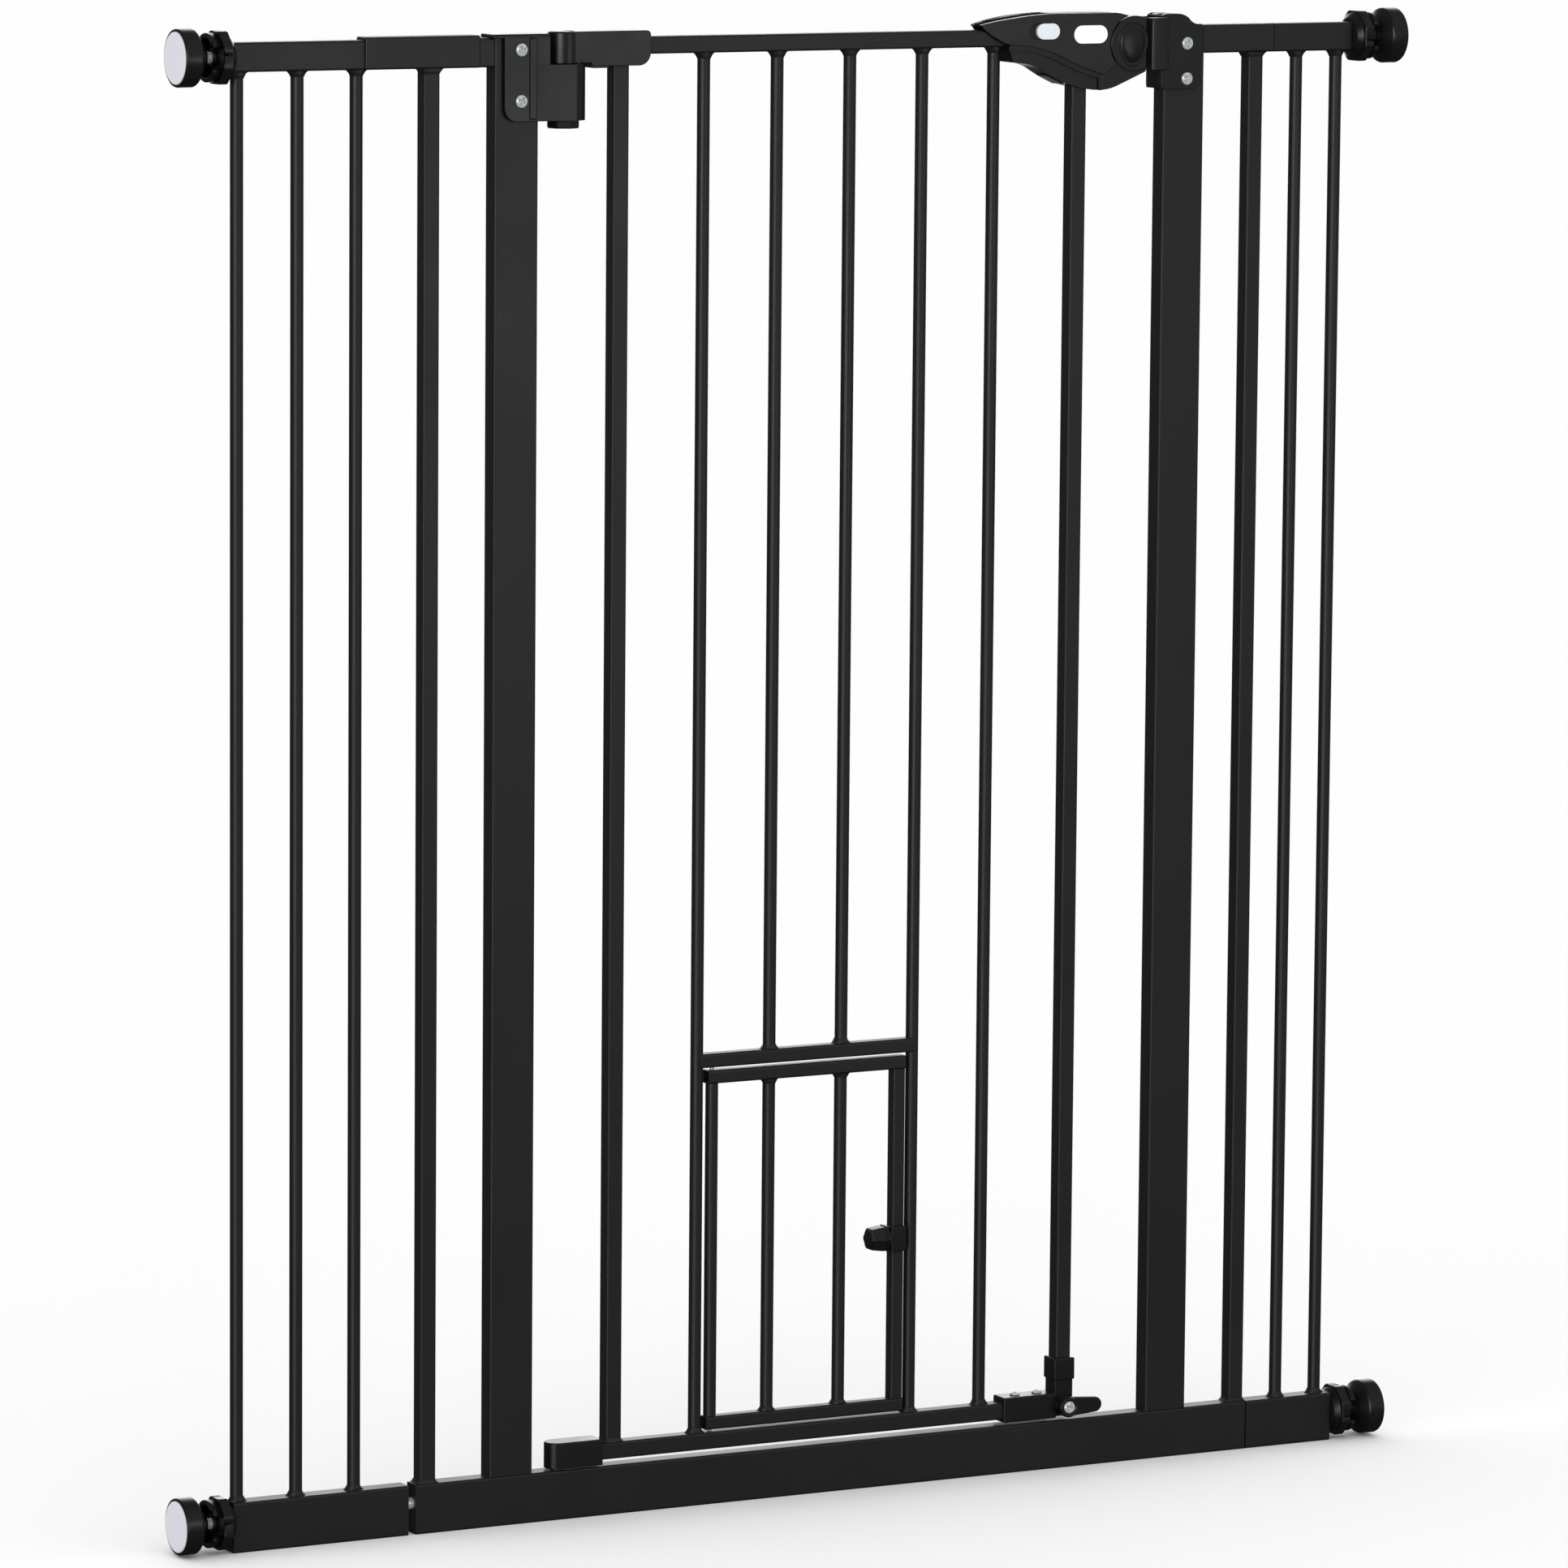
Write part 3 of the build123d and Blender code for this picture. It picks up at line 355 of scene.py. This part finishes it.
turned_to = {"X": Matrix.Rotation(pi / 2, 3, "Y"), "Y": Matrix.Rotation(-pi / 2, 3, "X"),
             "Z": Matrix.Identity(3)}


def turned(profile, axis, centre, steps=48):
    """A turned shape: (along, radius) points in millimetres, spun round an axis through centre."""
    bm = bmesh.new()
    verts = [bm.verts.new((radius * mm, 0, along * mm)) for along, radius in profile]
    edges = [bm.edges.new(pair) for pair in zip(verts, verts[1:])]
    bmesh.ops.spin(bm, geom=verts + edges, cent=(0, 0, 0), axis=(0, 0, 1), angle=2 * pi, steps=steps,
                   use_merge=True)
    bmesh.ops.remove_doubles(bm, verts=bm.verts, dist=1e-7)
    bmesh.ops.rotate(bm, verts=bm.verts, cent=(0, 0, 0), matrix=turned_to[axis])
    bmesh.ops.translate(bm, verts=bm.verts, vec=Vector(centre) * mm)
    bmesh.ops.recalc_face_normals(bm, faces=bm.faces)
    return bm


def joined(*shapes):
    """Several shapes as one bmesh."""
    whole = shapes[0]
    for shape in shapes[1:]:
        scrap = bpy.data.meshes.new("scrap")
        shape.to_mesh(scrap)
        shape.free()
        whole.from_mesh(scrap)
        bpy.data.meshes.remove(scrap)
    return whole


def moulding(name, bm, body, *nodes, material=None, slot="black_plastic"):
    """A moulded piece that stands for CAD nodes, its flats kept flat by weighted normals."""
    piece = object_from(name, bm, material or black_plastic)
    flats = piece.modifiers.new("flats", "WEIGHTED_NORMAL")
    flats.keep_sharp = True
    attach(piece, body)
    if nodes:
        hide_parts(*nodes)
    return piece


# Upper hinge: a cover screwed on the post, with two cheeks, a hood and a round block for the pin.
hinge_x, cover_low, block_top, cap_top = -188.0, 973.0, 1011.4, 1033.5
cheek = [(-237.3, cover_low, 9.0), (-202.8, cover_low, 0.5), (-202.8, 1030.5, 0.5), (-237.3, 1030.5, 0.5)]
rib = [(-218.6, 974.2, 1.0), (-213.2, 974.2, 1.0), (-213.2, 1030.0, 1.5), (-218.6, 1030.0, 1.5)]
hood = [(-245.8, -11.0, 2.0), (-202.8, -11.0, 3.0), (-202.8, 11.0, 3.0), (-245.8, 11.0, 2.0)]
block_front = [(-213.0, -10.9, 0.0), (-213.0, -11.2, 0.0), (-190.0, -13.0, 6.0), (-179.6, -13.2, 6.5),
               (-174.4, -7.5, 6.0)]
pin_block = block_front + [(x, -y, rounding) for x, y, rounding in reversed(block_front)]
moulding("hinge_bracket_cover", joined(
    *two_sides(cheek, 7.5, 11.0, 1.0), *two_sides(rib, 10.0, 12.4, 1.1),
    slab(hood, 1029.8, 1032.5, "XY", rims=(0.5, 1.4)),
    slab(pin_block, cover_low, block_top, "XY", rims=(1.0, 0.2)),
    block((-207.0, -202.8), (-10.9, 10.9), (973.2, 1031.0), 0.8)), "frame", "hinge_bracket")

# Hinge cap: a moulded arm over the door's top corner, on a knuckle that turns close over the block.
knuckle_low = block_top + 0.1
arm = [(-186.0, 1012.0, 0.5), (-171.5, 1012.0, 0.5), (-170.0, 1009.8, 1.0), (-125.7, 1009.4, 8.8),
       (-125.7, cap_top, 3.0), (-186.0, cap_top, 0.5)]
arm_lug = [(-170.5, 1008.2, 2.0), (-157.0, 1008.2, 0.6), (-157.0, 1012.0, 0.3), (-170.5, 1012.0, 0.3)]
moulding("hinge_cap_arm", joined(
    slab(arm, -10.0, 10.0, rims=(1.8, 1.8)), slab(arm_lug, -8.0, 8.0, rims=(0.8, 0.8)),
    turned([(knuckle_low, 0), (knuckle_low, 10.4), (knuckle_low + 0.6, 11.0), (1032.1, 11.0),
            (1033.3, 9.8), (cap_top, 8.0), (cap_top, 0)], "Z", (hinge_x, 0, 0))), "door", "hinge_cap")

# Lower hinge foot: a round-nosed cap on the end of the door's bottom rail, over the lower pin.
nose = [(-188.0, -8.5, 0.0), (-155.5, -8.5, 1.0), (-155.5, 8.5, 1.0), (-188.0, 8.5, 0.0), (-196.5, 8.5, 8.0),
        (-196.5, -8.5, 8.0)]
moulding("hinge_foot_cap", slab(nose, 36.0, 54.5, "XY", rims=(0.6, 1.6)), "door", "hinge_foot")

# Lower corner bracket: an elbow with a thick-mouthed upright sleeve, a neck and a level sleeve.
wing_pivot = (214.0, 0, 45.5)
moulding("corner_elbow", joined(
    block((205.7, 222.3), (-8.3, 8.3), (64.0, 80.0), 1.2),
    block((206.7, 221.3), (-7.3, 7.3), (37.8, 65.0), 0.9),
    block((164.5, 207.7), (-8.3, 8.3), (36.8, 55.0), 1.2),
    turned([(-10.0, 0), (-10.0, 7.0), (-9.6, 7.4), (0.0, 7.4)], "Y", wing_pivot)),
    "door", "corner_bracket")

# Catch bracket: a cover on the latch post with a crown, and two glossy lips at the latch's mouth.
catch_plate = [(277.5, 985.5, 2.5), (311.0, 985.5, 8.0), (311.0, 1031.0, 1.5), (303.0, 1031.0, 4.0),
               (297.5, 1038.5, 7.0), (277.5, 1038.5, 4.0)]
crown_fill = [(277.6, 1029.9, 0.3), (303.0, 1029.9, 0.3), (303.0, 1031.0, 4.0), (297.5, 1038.4, 7.0),
              (277.6, 1038.4, 4.0)]
lip = [(266.6, -16.5, 2.5), (280.8, -16.5, 2.5), (280.8, -8.6, 0.8), (266.6, -8.6, 0.8)]
back_lip = [(x, -y, rounding) for x, y, rounding in reversed(lip)]
moulding("catch_bracket_cover", joined(
    *two_sides(catch_plate, 7.5, 11.0, 1.2),
    slab(crown_fill, -7.6, 7.6, rims=(0, 0)),
    block((277.6, 281.5), (-10.8, 10.8), (985.7, 1037.5), 0.6),
    slab(lip, 999.0, 1036.0, "XY", rims=(1.2, 1.2)),
    slab(back_lip, 999.0, 1036.0, "XY", rims=(1.2, 1.2))), "frame", "catch_bracket")


# Metal fittings: screws, bolts and spindles of mild steel, bright zinc-plated, with a faint
# blue-white bloom; the spindles are rolled M8 thread.
def zinc_pattern(tree):
    place = add_node(tree, "ShaderNodeTexCoord").outputs["Object"]
    # The bloom's patches are about 6 mm across.
    bloom = add_node(tree, "ShaderNodeTexNoise", {"Vector": place, "Scale": 160.0, "Detail": 3.0})
    sheen = add_node(tree, "ShaderNodeMapRange", {"Value": bloom.outputs["Fac"], "From Min": 0.3,
                     "From Max": 0.7, "To Min": 0.20, "To Max": 0.34})
    tint = add_node(tree, "ShaderNodeMix", {"Factor": bloom.outputs["Fac"], "A": from_hex("CED3D6"),
                    "B": from_hex("E4E8EA")}, data_type="RGBA")
    return {"Base Color": tint.outputs["Result"], "Roughness": sheen.outputs["Result"]}


zinc = finish_material("bright zinc plate", {"Metallic": 0.5}, zinc_pattern)
cover(zinc, "joint_bolts", "lower_hinge_pin", "hinge_pin", "plunger_pin", "cat_hinge_pins")


def cut_out(shape, cutter_bm):
    """Cuts a pocket in a bmesh with another, and returns the result."""
    body, tool = object_from("body", shape, zinc), object_from("tool", cutter_bm, zinc)
    pocket = body.modifiers.new("pocket", "BOOLEAN")
    pocket.object, pocket.solver = tool, "EXACT"
    bpy.context.view_layer.update()
    result = bpy.data.meshes.new_from_object(body.evaluated_get(bpy.context.evaluated_depsgraph_get()))
    made = bmesh.new()
    made.from_mesh(result)
    for gone in (body, tool):
        bpy.data.objects.remove(gone)
    return made


def cross_screw(centre, turn, radius=4.4, height=2.4):
    """A pan head with a cross recess, seated at centre and facing -Y; turn is in degrees."""
    head = turned([(0.0, 0), (0.0, radius), (-0.35 * height, radius), (-0.62 * height, radius * 0.93),
                   (-0.83 * height, radius * 0.76), (-0.96 * height, radius * 0.5), (-height, 0)], "Y",
                  (0, 0, 0), 40)
    long, half = radius * 0.66, radius * 0.19
    cross = [(long, -half, 0), (long, half, 0), (half, half, 0), (half, long, 0), (-half, long, 0),
             (-half, half, 0), (-long, half, 0), (-long, -half, 0), (-half, -half, 0), (-half, -long, 0),
             (half, -long, 0), (half, -half, 0)]
    head = cut_out(head, slab(cross, -height - 1.0, -0.25, rims=(0, 0)))
    bmesh.ops.rotate(head, verts=head.verts, cent=(0, 0, 0), matrix=Matrix.Rotation(radians(turn), 3, "Y"))
    bmesh.ops.translate(head, verts=head.verts, vec=Vector(centre) * mm)
    return head


# Two screws hold each bracket on its post, one shouldered screw carries the wing lever, and two
# smaller ones hold the elbow on the door's bottom rail.
moulding("bracket_screw_heads", joined(
    cross_screw((-225.0, -11.0, 986.9), 25), cross_screw((-225.0, -11.0, 1021.8), 70),
    cross_screw((298.0, -11.0, 992.7), 40), cross_screw((298.0, -11.0, 1017.5), 10)),
    "frame", "bracket_screws", material=zinc, slot="zinc_plated_steel")
top_heads = joined(cross_screw((177.7, 0, 0), 15, 3.6, 2.0), cross_screw((195.5, 0, 0), 50, 3.6, 2.0))
bmesh.ops.rotate(top_heads, verts=top_heads.verts, cent=(0, 0, 0), matrix=Matrix.Rotation(-pi / 2, 3, "X"))
bmesh.ops.translate(top_heads, verts=top_heads.verts, vec=(0, 0, 55.0 * mm))
moulding("corner_screw_heads", joined(cross_screw((wing_pivot[0], -14.8, wing_pivot[2]), 30), turned(
    [(-14.9, 2.0), (-2.5, 2.0), (-2.5, 0)], "Y", wing_pivot, 24), top_heads),
    "door", "corner_screws", material=zinc, slot="zinc_plated_steel")

# Wall spindles: an M8 spindle screwed in each rail end by a castellated handwheel, with a pad that
# presses on the wall. Each is made for the +X side and turned round for the -X side.
corners = (("top_left", -1), ("top_right", 1), ("bottom_left", -1), ("bottom_right", 1))
pitch, thread_root, thread_crest = 1.25, 3.3, 4.0
thread_x0, thread_x1 = 420.0, 458.0


def threaded_rod():
    turns = int((thread_x1 - thread_x0) / pitch)
    bm = bmesh.new()
    profile = ((0.0, thread_root), (0.16, thread_root), (0.56, thread_crest), (0.69, thread_crest),
               (1.09, thread_root), (pitch, thread_root))
    verts = [bm.verts.new((radius * mm, 0, (thread_x0 + along) * mm)) for along, radius in profile]
    edges = [bm.edges.new(pair) for pair in zip(verts, verts[1:])]
    steps = 24 * turns
    bmesh.ops.spin(bm, geom=verts + edges, cent=(0, 0, 0), axis=(0, 0, 1), angle=2 * pi * turns,
                   steps=steps, dvec=(0, 0, pitch * turns / steps * mm))
    bmesh.ops.remove_doubles(bm, verts=bm.verts, dist=1e-6)
    bmesh.ops.rotate(bm, verts=bm.verts, cent=(0, 0, 0), matrix=turned_to["X"])
    bmesh.ops.recalc_face_normals(bm, faces=bm.faces)
    return joined(bm, turned([(388.0, 0), (388.0, thread_crest), (thread_x0, thread_crest),
                              (thread_x0 + 0.6, thread_root)], "X", (0, 0, 0), 32))


def arc(centre, radius, start, stop, count):
    """Corners along an arc, from start to stop in degrees, for an outline."""
    step = (stop - start) / (count - 1)
    return [(centre[0] + radius * cos(radians(start + n * step)),
             centre[1] + radius * sin(radians(start + n * step)), 0.0) for n in range(count)]


def handwheel():
    """A flange, eight flats with four notches, a hub, and a ring that is open at the front."""
    body = turned([(437.4, 4.2), (437.4, 12.6), (437.7, 13.0), (440.4, 16.0), (441.0, 16.4), (441.6, 16.4),
                   (441.6, 4.2)], "X", (0, 0, 0), 48)
    eight = [(19.3 * cos(radians(22.5 + 45 * n)), 19.3 * sin(radians(22.5 + 45 * n)), 1.4)
             for n in range(8)]
    flats = slab(eight, 441.4, 448.6, "YZ", rims=(0.9, 0.9))
    for angle in (180, 0, 90, 270):
        notch = slab([(16.0, -0.7, 0), (20.5, -0.7, 0), (20.5, 0.7, 0), (16.0, 0.7, 0)], 442.6, 450.0,
                     "YZ", rims=(0, 0))
        bmesh.ops.rotate(notch, verts=notch.verts, cent=(0, 0, 0),
                         matrix=Matrix.Rotation(radians(angle + 8), 3, "X"))
        flats = cut_out(flats, notch)
    ring = arc((0, 0), 16.6, 208, 512, 39) + arc((0, 0), 13.2, 512, 208, 39)
    grip = slab(ring, 448.0, 455.0, "YZ", rims=(0, 0.7))
    hub = turned([(448.0, 4.2), (448.0, 6.6), (450.4, 6.6), (451.0, 6.0), (451.0, 4.2), (448.0, 4.2)], "X",
                 (0, 0, 0), 32)
    return joined(body, flats, hub, grip)


def pad_body():
    return turned([(462.0, 4.1), (457.2, 4.1), (456.6, 4.7), (456.6, 8.4), (457.2, 9.2), (458.6, 10.2),
                   (463.6, 18.4), (464.6, 19.3), (465.6, 19.7), (475.4, 19.7), (476.3, 19.3), (476.5, 18.6),
                   (476.5, 17.9), (475.9, 17.7), (475.9, 0)], "X", (0, 0, 0), 64)


def pad_face():
    return turned([(475.8, 17.6), (476.7, 17.6), (477.1, 17.2), (477.2, 16.6), (477.2, 0)], "X",
                  (0, 0, 0), 64)


# The pads are faced with closed-cell foam, matt and pale, which shows no highlight.
pad_foam = finish_material("pale grey foam", {"Base Color": from_hex("D3D3DC"), "Roughness": 0.75})
for corner, side in corners:
    height = (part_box("spindle_" + corner)[0].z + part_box("spindle_" + corner)[1].z) / 2
    for kind, make, node, body, material, slot in (
            ("thread_", threaded_rod, "spindle_", "spindle_", zinc, "zinc_plated_steel"),
            ("wheel_", handwheel, "handwheel_", "wheel_", black_plastic, "black_plastic"),
            ("pad_shell_", pad_body, "pad_", "spindle_", black_plastic, "black_plastic"),
            ("pad_face_", pad_face, "pad_", "spindle_", pad_foam, "black_plastic")):
        shape = make()
        if side < 0:
            bmesh.ops.rotate(shape, verts=shape.verts, cent=(0, 0, 0), matrix=Matrix.Rotation(pi, 3, "Y"))
        bmesh.ops.translate(shape, verts=shape.verts, vec=(0, 0, height))
        moulding(kind + corner, shape, body + corner, node + corner, material=material, slot=slot)


# Latch: a lift lever over the door's corner, on a housing with a skirt below and a round boss.
pivot = (255.0, 1018.0)
lever_side = [(133.0, 1032.6, 1.0), (138.5, 1027.0, 4.0), (152.6, 1018.4, 5.0), (177.0, 1017.9, 16.0),
              (214.0, 1001.3, 14.0), (229.6, 996.6, 1.0)]
lever_side += arc(pivot, 20.3, 223, 106, 14)
lever_side += [(243.0, 1040.0, 5.0), (165.0, 1040.0, 26.0)]
slot_hole = [(169.3, 1021.8, 5.8), (194.1, 1021.8, 5.8), (194.1, 1033.6, 5.8), (169.3, 1033.6, 5.8)]
badge_hole = [(205.3, 1018.8, 6.2), (232.2, 1018.8, 6.2), (232.2, 1031.4, 6.2), (205.3, 1031.4, 6.2)]
lever_front = slab(lever_side, -13.0, -9.0, rims=(1.3, 0))
lever_front = cut_out(lever_front, slab(slot_hole, -14.0, -10.6, rims=(0, 0)))
lever_front = cut_out(lever_front, slab(badge_hole, -14.0, -12.2, rims=(0, 0)))
crown = [(133.2, 1031.4, 0.3), (243.4, 1031.4, 0.3), (243.0, 1040.0, 5.0), (165.0, 1040.0, 26.0),
         (133.0, 1032.6, 1.0)]
lever_bm = joined(lever_front, slab(lever_side, 9.0, 13.0, rims=(0, 1.3)),
                  slab(crown, -9.1, 9.1, rims=(0, 0)),
                  turned([(-3.5, 0), (-3.5, 5.0), (3.5, 5.0), (3.5, 0)], "Y", (pivot[0], 0, pivot[1])),
                  slab([(240.0, 1033.0, 0), (252.0, 1014.5, 0), (258.0, 1020.5, 0), (247.0, 1037.0, 0)],
                       -3.5, 3.5, rims=(0, 0)))
for crease in (159.0, 156.5):
    bmesh.ops.bisect_plane(lever_bm, geom=lever_bm.verts[:] + lever_bm.edges[:] + lever_bm.faces[:],
                           plane_co=(crease * mm, 0, 0), plane_no=(1, 0, 0.35), dist=1e-7)
for vert in lever_bm.verts:
    reach = (158.0 * mm - vert.co.x) / (25.0 * mm)
    if reach > 0:
        vert.co.y *= 1.0 - 0.42 * min(reach, 1.0)
moulding("lift_lever", lever_bm, "latch_lever", "latch_lever")

skirt = [(154.2, 1017.6, 0.5), (158.0, 1006.2, 2.0), (174.2, 1004.6, 6.0), (190.0, 995.0, 6.0),
         (208.0, 988.0, 10.0), (226.6, 985.6, 3.0), (226.6, 997.0, 0.5), (214.0, 1000.8, 14.0),
         (177.0, 1017.5, 16.0)]
lip_band = [(154.4, 1018.6, 0.5), (153.6, 1014.6, 1.0), (176.0, 1014.4, 16.0), (213.4, 997.2, 14.0),
            (225.6, 994.4, 3.0), (226.4, 985.8, 0.5), (229.2, 985.8, 0.5), (229.2, 997.6, 0.5),
            (214.0, 1001.4, 14.0), (177.0, 1018.2, 16.0)]
skirt_tab = [(186.0, 996.6, 1.0), (200.0, 989.9, 1.0), (200.0, 996.0, 0.5), (190.0, 1000.0, 0.5)]
boss_side = arc(pivot, 19.7, 61.4, 298.6, 34)
wedge = [(228.8, 1001.0, 0.5), (228.8, 986.0, 0.8), (236.0, 986.6, 5.0), (264.3, 998.4, 1.5),
         (264.3, 1008.0, 0.5), (240.0, 1006.0, 0.5)]
core = [(160.0, 1010.0, 1), (196.0, 997.0, 1), (232.0, 992.0, 1), (235.0, 1005.0, 1), (234.0, 1030.4, 1),
        (160.0, 1030.4, 1)]
moulding("latch_housing_body", joined(
    slab(skirt, -10.4, 10.4, rims=(0.8, 0.8)), slab(lip_band, -12.0, 12.0, rims=(0.9, 0.9)),
    slab(skirt_tab, -8.0, 8.0, rims=(0.4, 0.4)), *two_sides(wedge, 3.9, 12.3, 1.2),
    *two_sides(boss_side, 3.9, 13.0, 0.9), slab(core, -7.8, 7.8, rims=(0.4, 0.4)),
    block((262.0, 264.4), (-12.0, 12.0), (1000.0, 1035.0), 0.4)), "door", "latch_housing")


def egg_shaped(bm, width, height, lift):
    """Pulls a unit round shape, facing -Y, to an egg with its narrow end down, on the pivot cap."""
    bmesh.ops.scale(bm, verts=bm.verts, vec=(width * mm, mm, height * mm))
    for vert in bm.verts:
        vert.co.x *= 1.0 + 0.16 * vert.co.z / (height * mm)
    bmesh.ops.translate(bm, verts=bm.verts, vec=(252.9 * mm, lift * mm, 1017.4 * mm))
    return bm


dome = turned([(-1.6, 0), (-1.5, 0.35), (-1.2, 0.65), (-0.7, 0.85), (0.0, 0.97), (0.6, 1.0)], "Y", (0, 0, 0))
bmesh.ops.scale(dome, verts=dome.verts, vec=(1 / mm, 1 / mm, 1 / mm))
groove = turned([(0.2, 1.08), (-0.35, 1.10), (-0.5, 1.14), (-0.35, 1.18), (0.2, 1.20)], "Y", (0, 0, 0))
bmesh.ops.scale(groove, verts=groove.verts, vec=(1 / mm, 1 / mm, 1 / mm))
moulding("pivot_egg_cap", joined(egg_shaped(dome, 9.9, 13.4, -13.0), egg_shaped(groove, 9.9, 13.4, -13.0)),
         "door", "pivot_cap")

# The slider is white ABS and the badge a whiter printed label: both clean, with a slight gloss.
white_plastic = finish_material("white abs", {"Base Color": from_hex("DCE3EA"), "Roughness": 0.32})
cover(white_plastic, "lock_slider")
badge_white = finish_material("white label on abs", {"Base Color": from_hex("FAFAFA"), "Roughness": 0.25})
cover(badge_white, "latch_badge")

# Wing lever: a short arm on a ringed hub, with its shouldered screw sunk in the ring.
wing = arc((236.0, 45.5), 5.5, -82, 82, 12) + arc((wing_pivot[0], wing_pivot[2]), 7.2, 85, 275, 14)
wing_arm = slab(wing, -14.6, -10.3, rims=(1.2, 0.5))
wing_arm = cut_out(wing_arm, turned([(-17.0, 0), (-17.0, 5.0), (-9.0, 5.0), (-9.0, 0)], "Y",
                                    wing_pivot, 32))
hub_ring = turned([(-10.3, 2.3), (-10.3, 7.4), (-15.6, 7.4), (-16.3, 6.9), (-16.5, 6.2), (-16.2, 5.5),
                   (-14.9, 5.1), (-14.7, 2.3), (-10.3, 2.3)], "Y", wing_pivot)
moulding("wing_lever_arm", joined(wing_arm, hub_ring), "wing_lever", "wing_lever")

# Cat door catch: a saddle moulded over the stile carries a spring plunger, which a six-sided knob
# draws back; the knob narrows outwards and has a groove before its flange.
stile_x0, stile_x1 = (corner.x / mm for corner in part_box("cat_stile"))
knob_x0, knob_x1 = (corner.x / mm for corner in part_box("plunger_knob"))
knob_z = (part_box("plunger_knob")[0].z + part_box("plunger_knob")[1].z) / 2 / mm
moulding("cat_knob_saddle", joined(
    block((stile_x0 - 2.6, stile_x1), (-8.6, -4.75), (knob_z - 9.0, knob_z + 9.0), 1.2),
    block((stile_x0 - 2.6, stile_x0), (-8.4, 4.75), (knob_z - 8.8, knob_z + 8.8), 0.5)),
    "cat_door", "knob_housing")
knob = turned([(knob_x0, 0), (knob_x0, 7.2), (knob_x0 + 1.5, 8.6), (knob_x1 - 3.4, 10.0),
               (knob_x1 - 2.8, 9.2), (knob_x1 - 2.2, 9.2), (knob_x1 - 1.6, 10.4), (knob_x1, 10.4),
               (knob_x1, 0)], "X", (0, 0, 0), 6)
bmesh.ops.bevel(knob, geom=knob.edges[:], offset=0.5 * mm, segments=2, profile=0.5, affect="EDGES",
                material=-1, clamp_overlap=True)
bmesh.ops.rotate(knob, verts=knob.verts, cent=(0, 0, 0), matrix=Matrix.Rotation(pi / 2, 3, "X"))
bmesh.ops.translate(knob, verts=knob.verts, vec=(0, 0, knob_z * mm))
moulding("cat_plunger_knob", knob, "plunger", "plunger_knob")
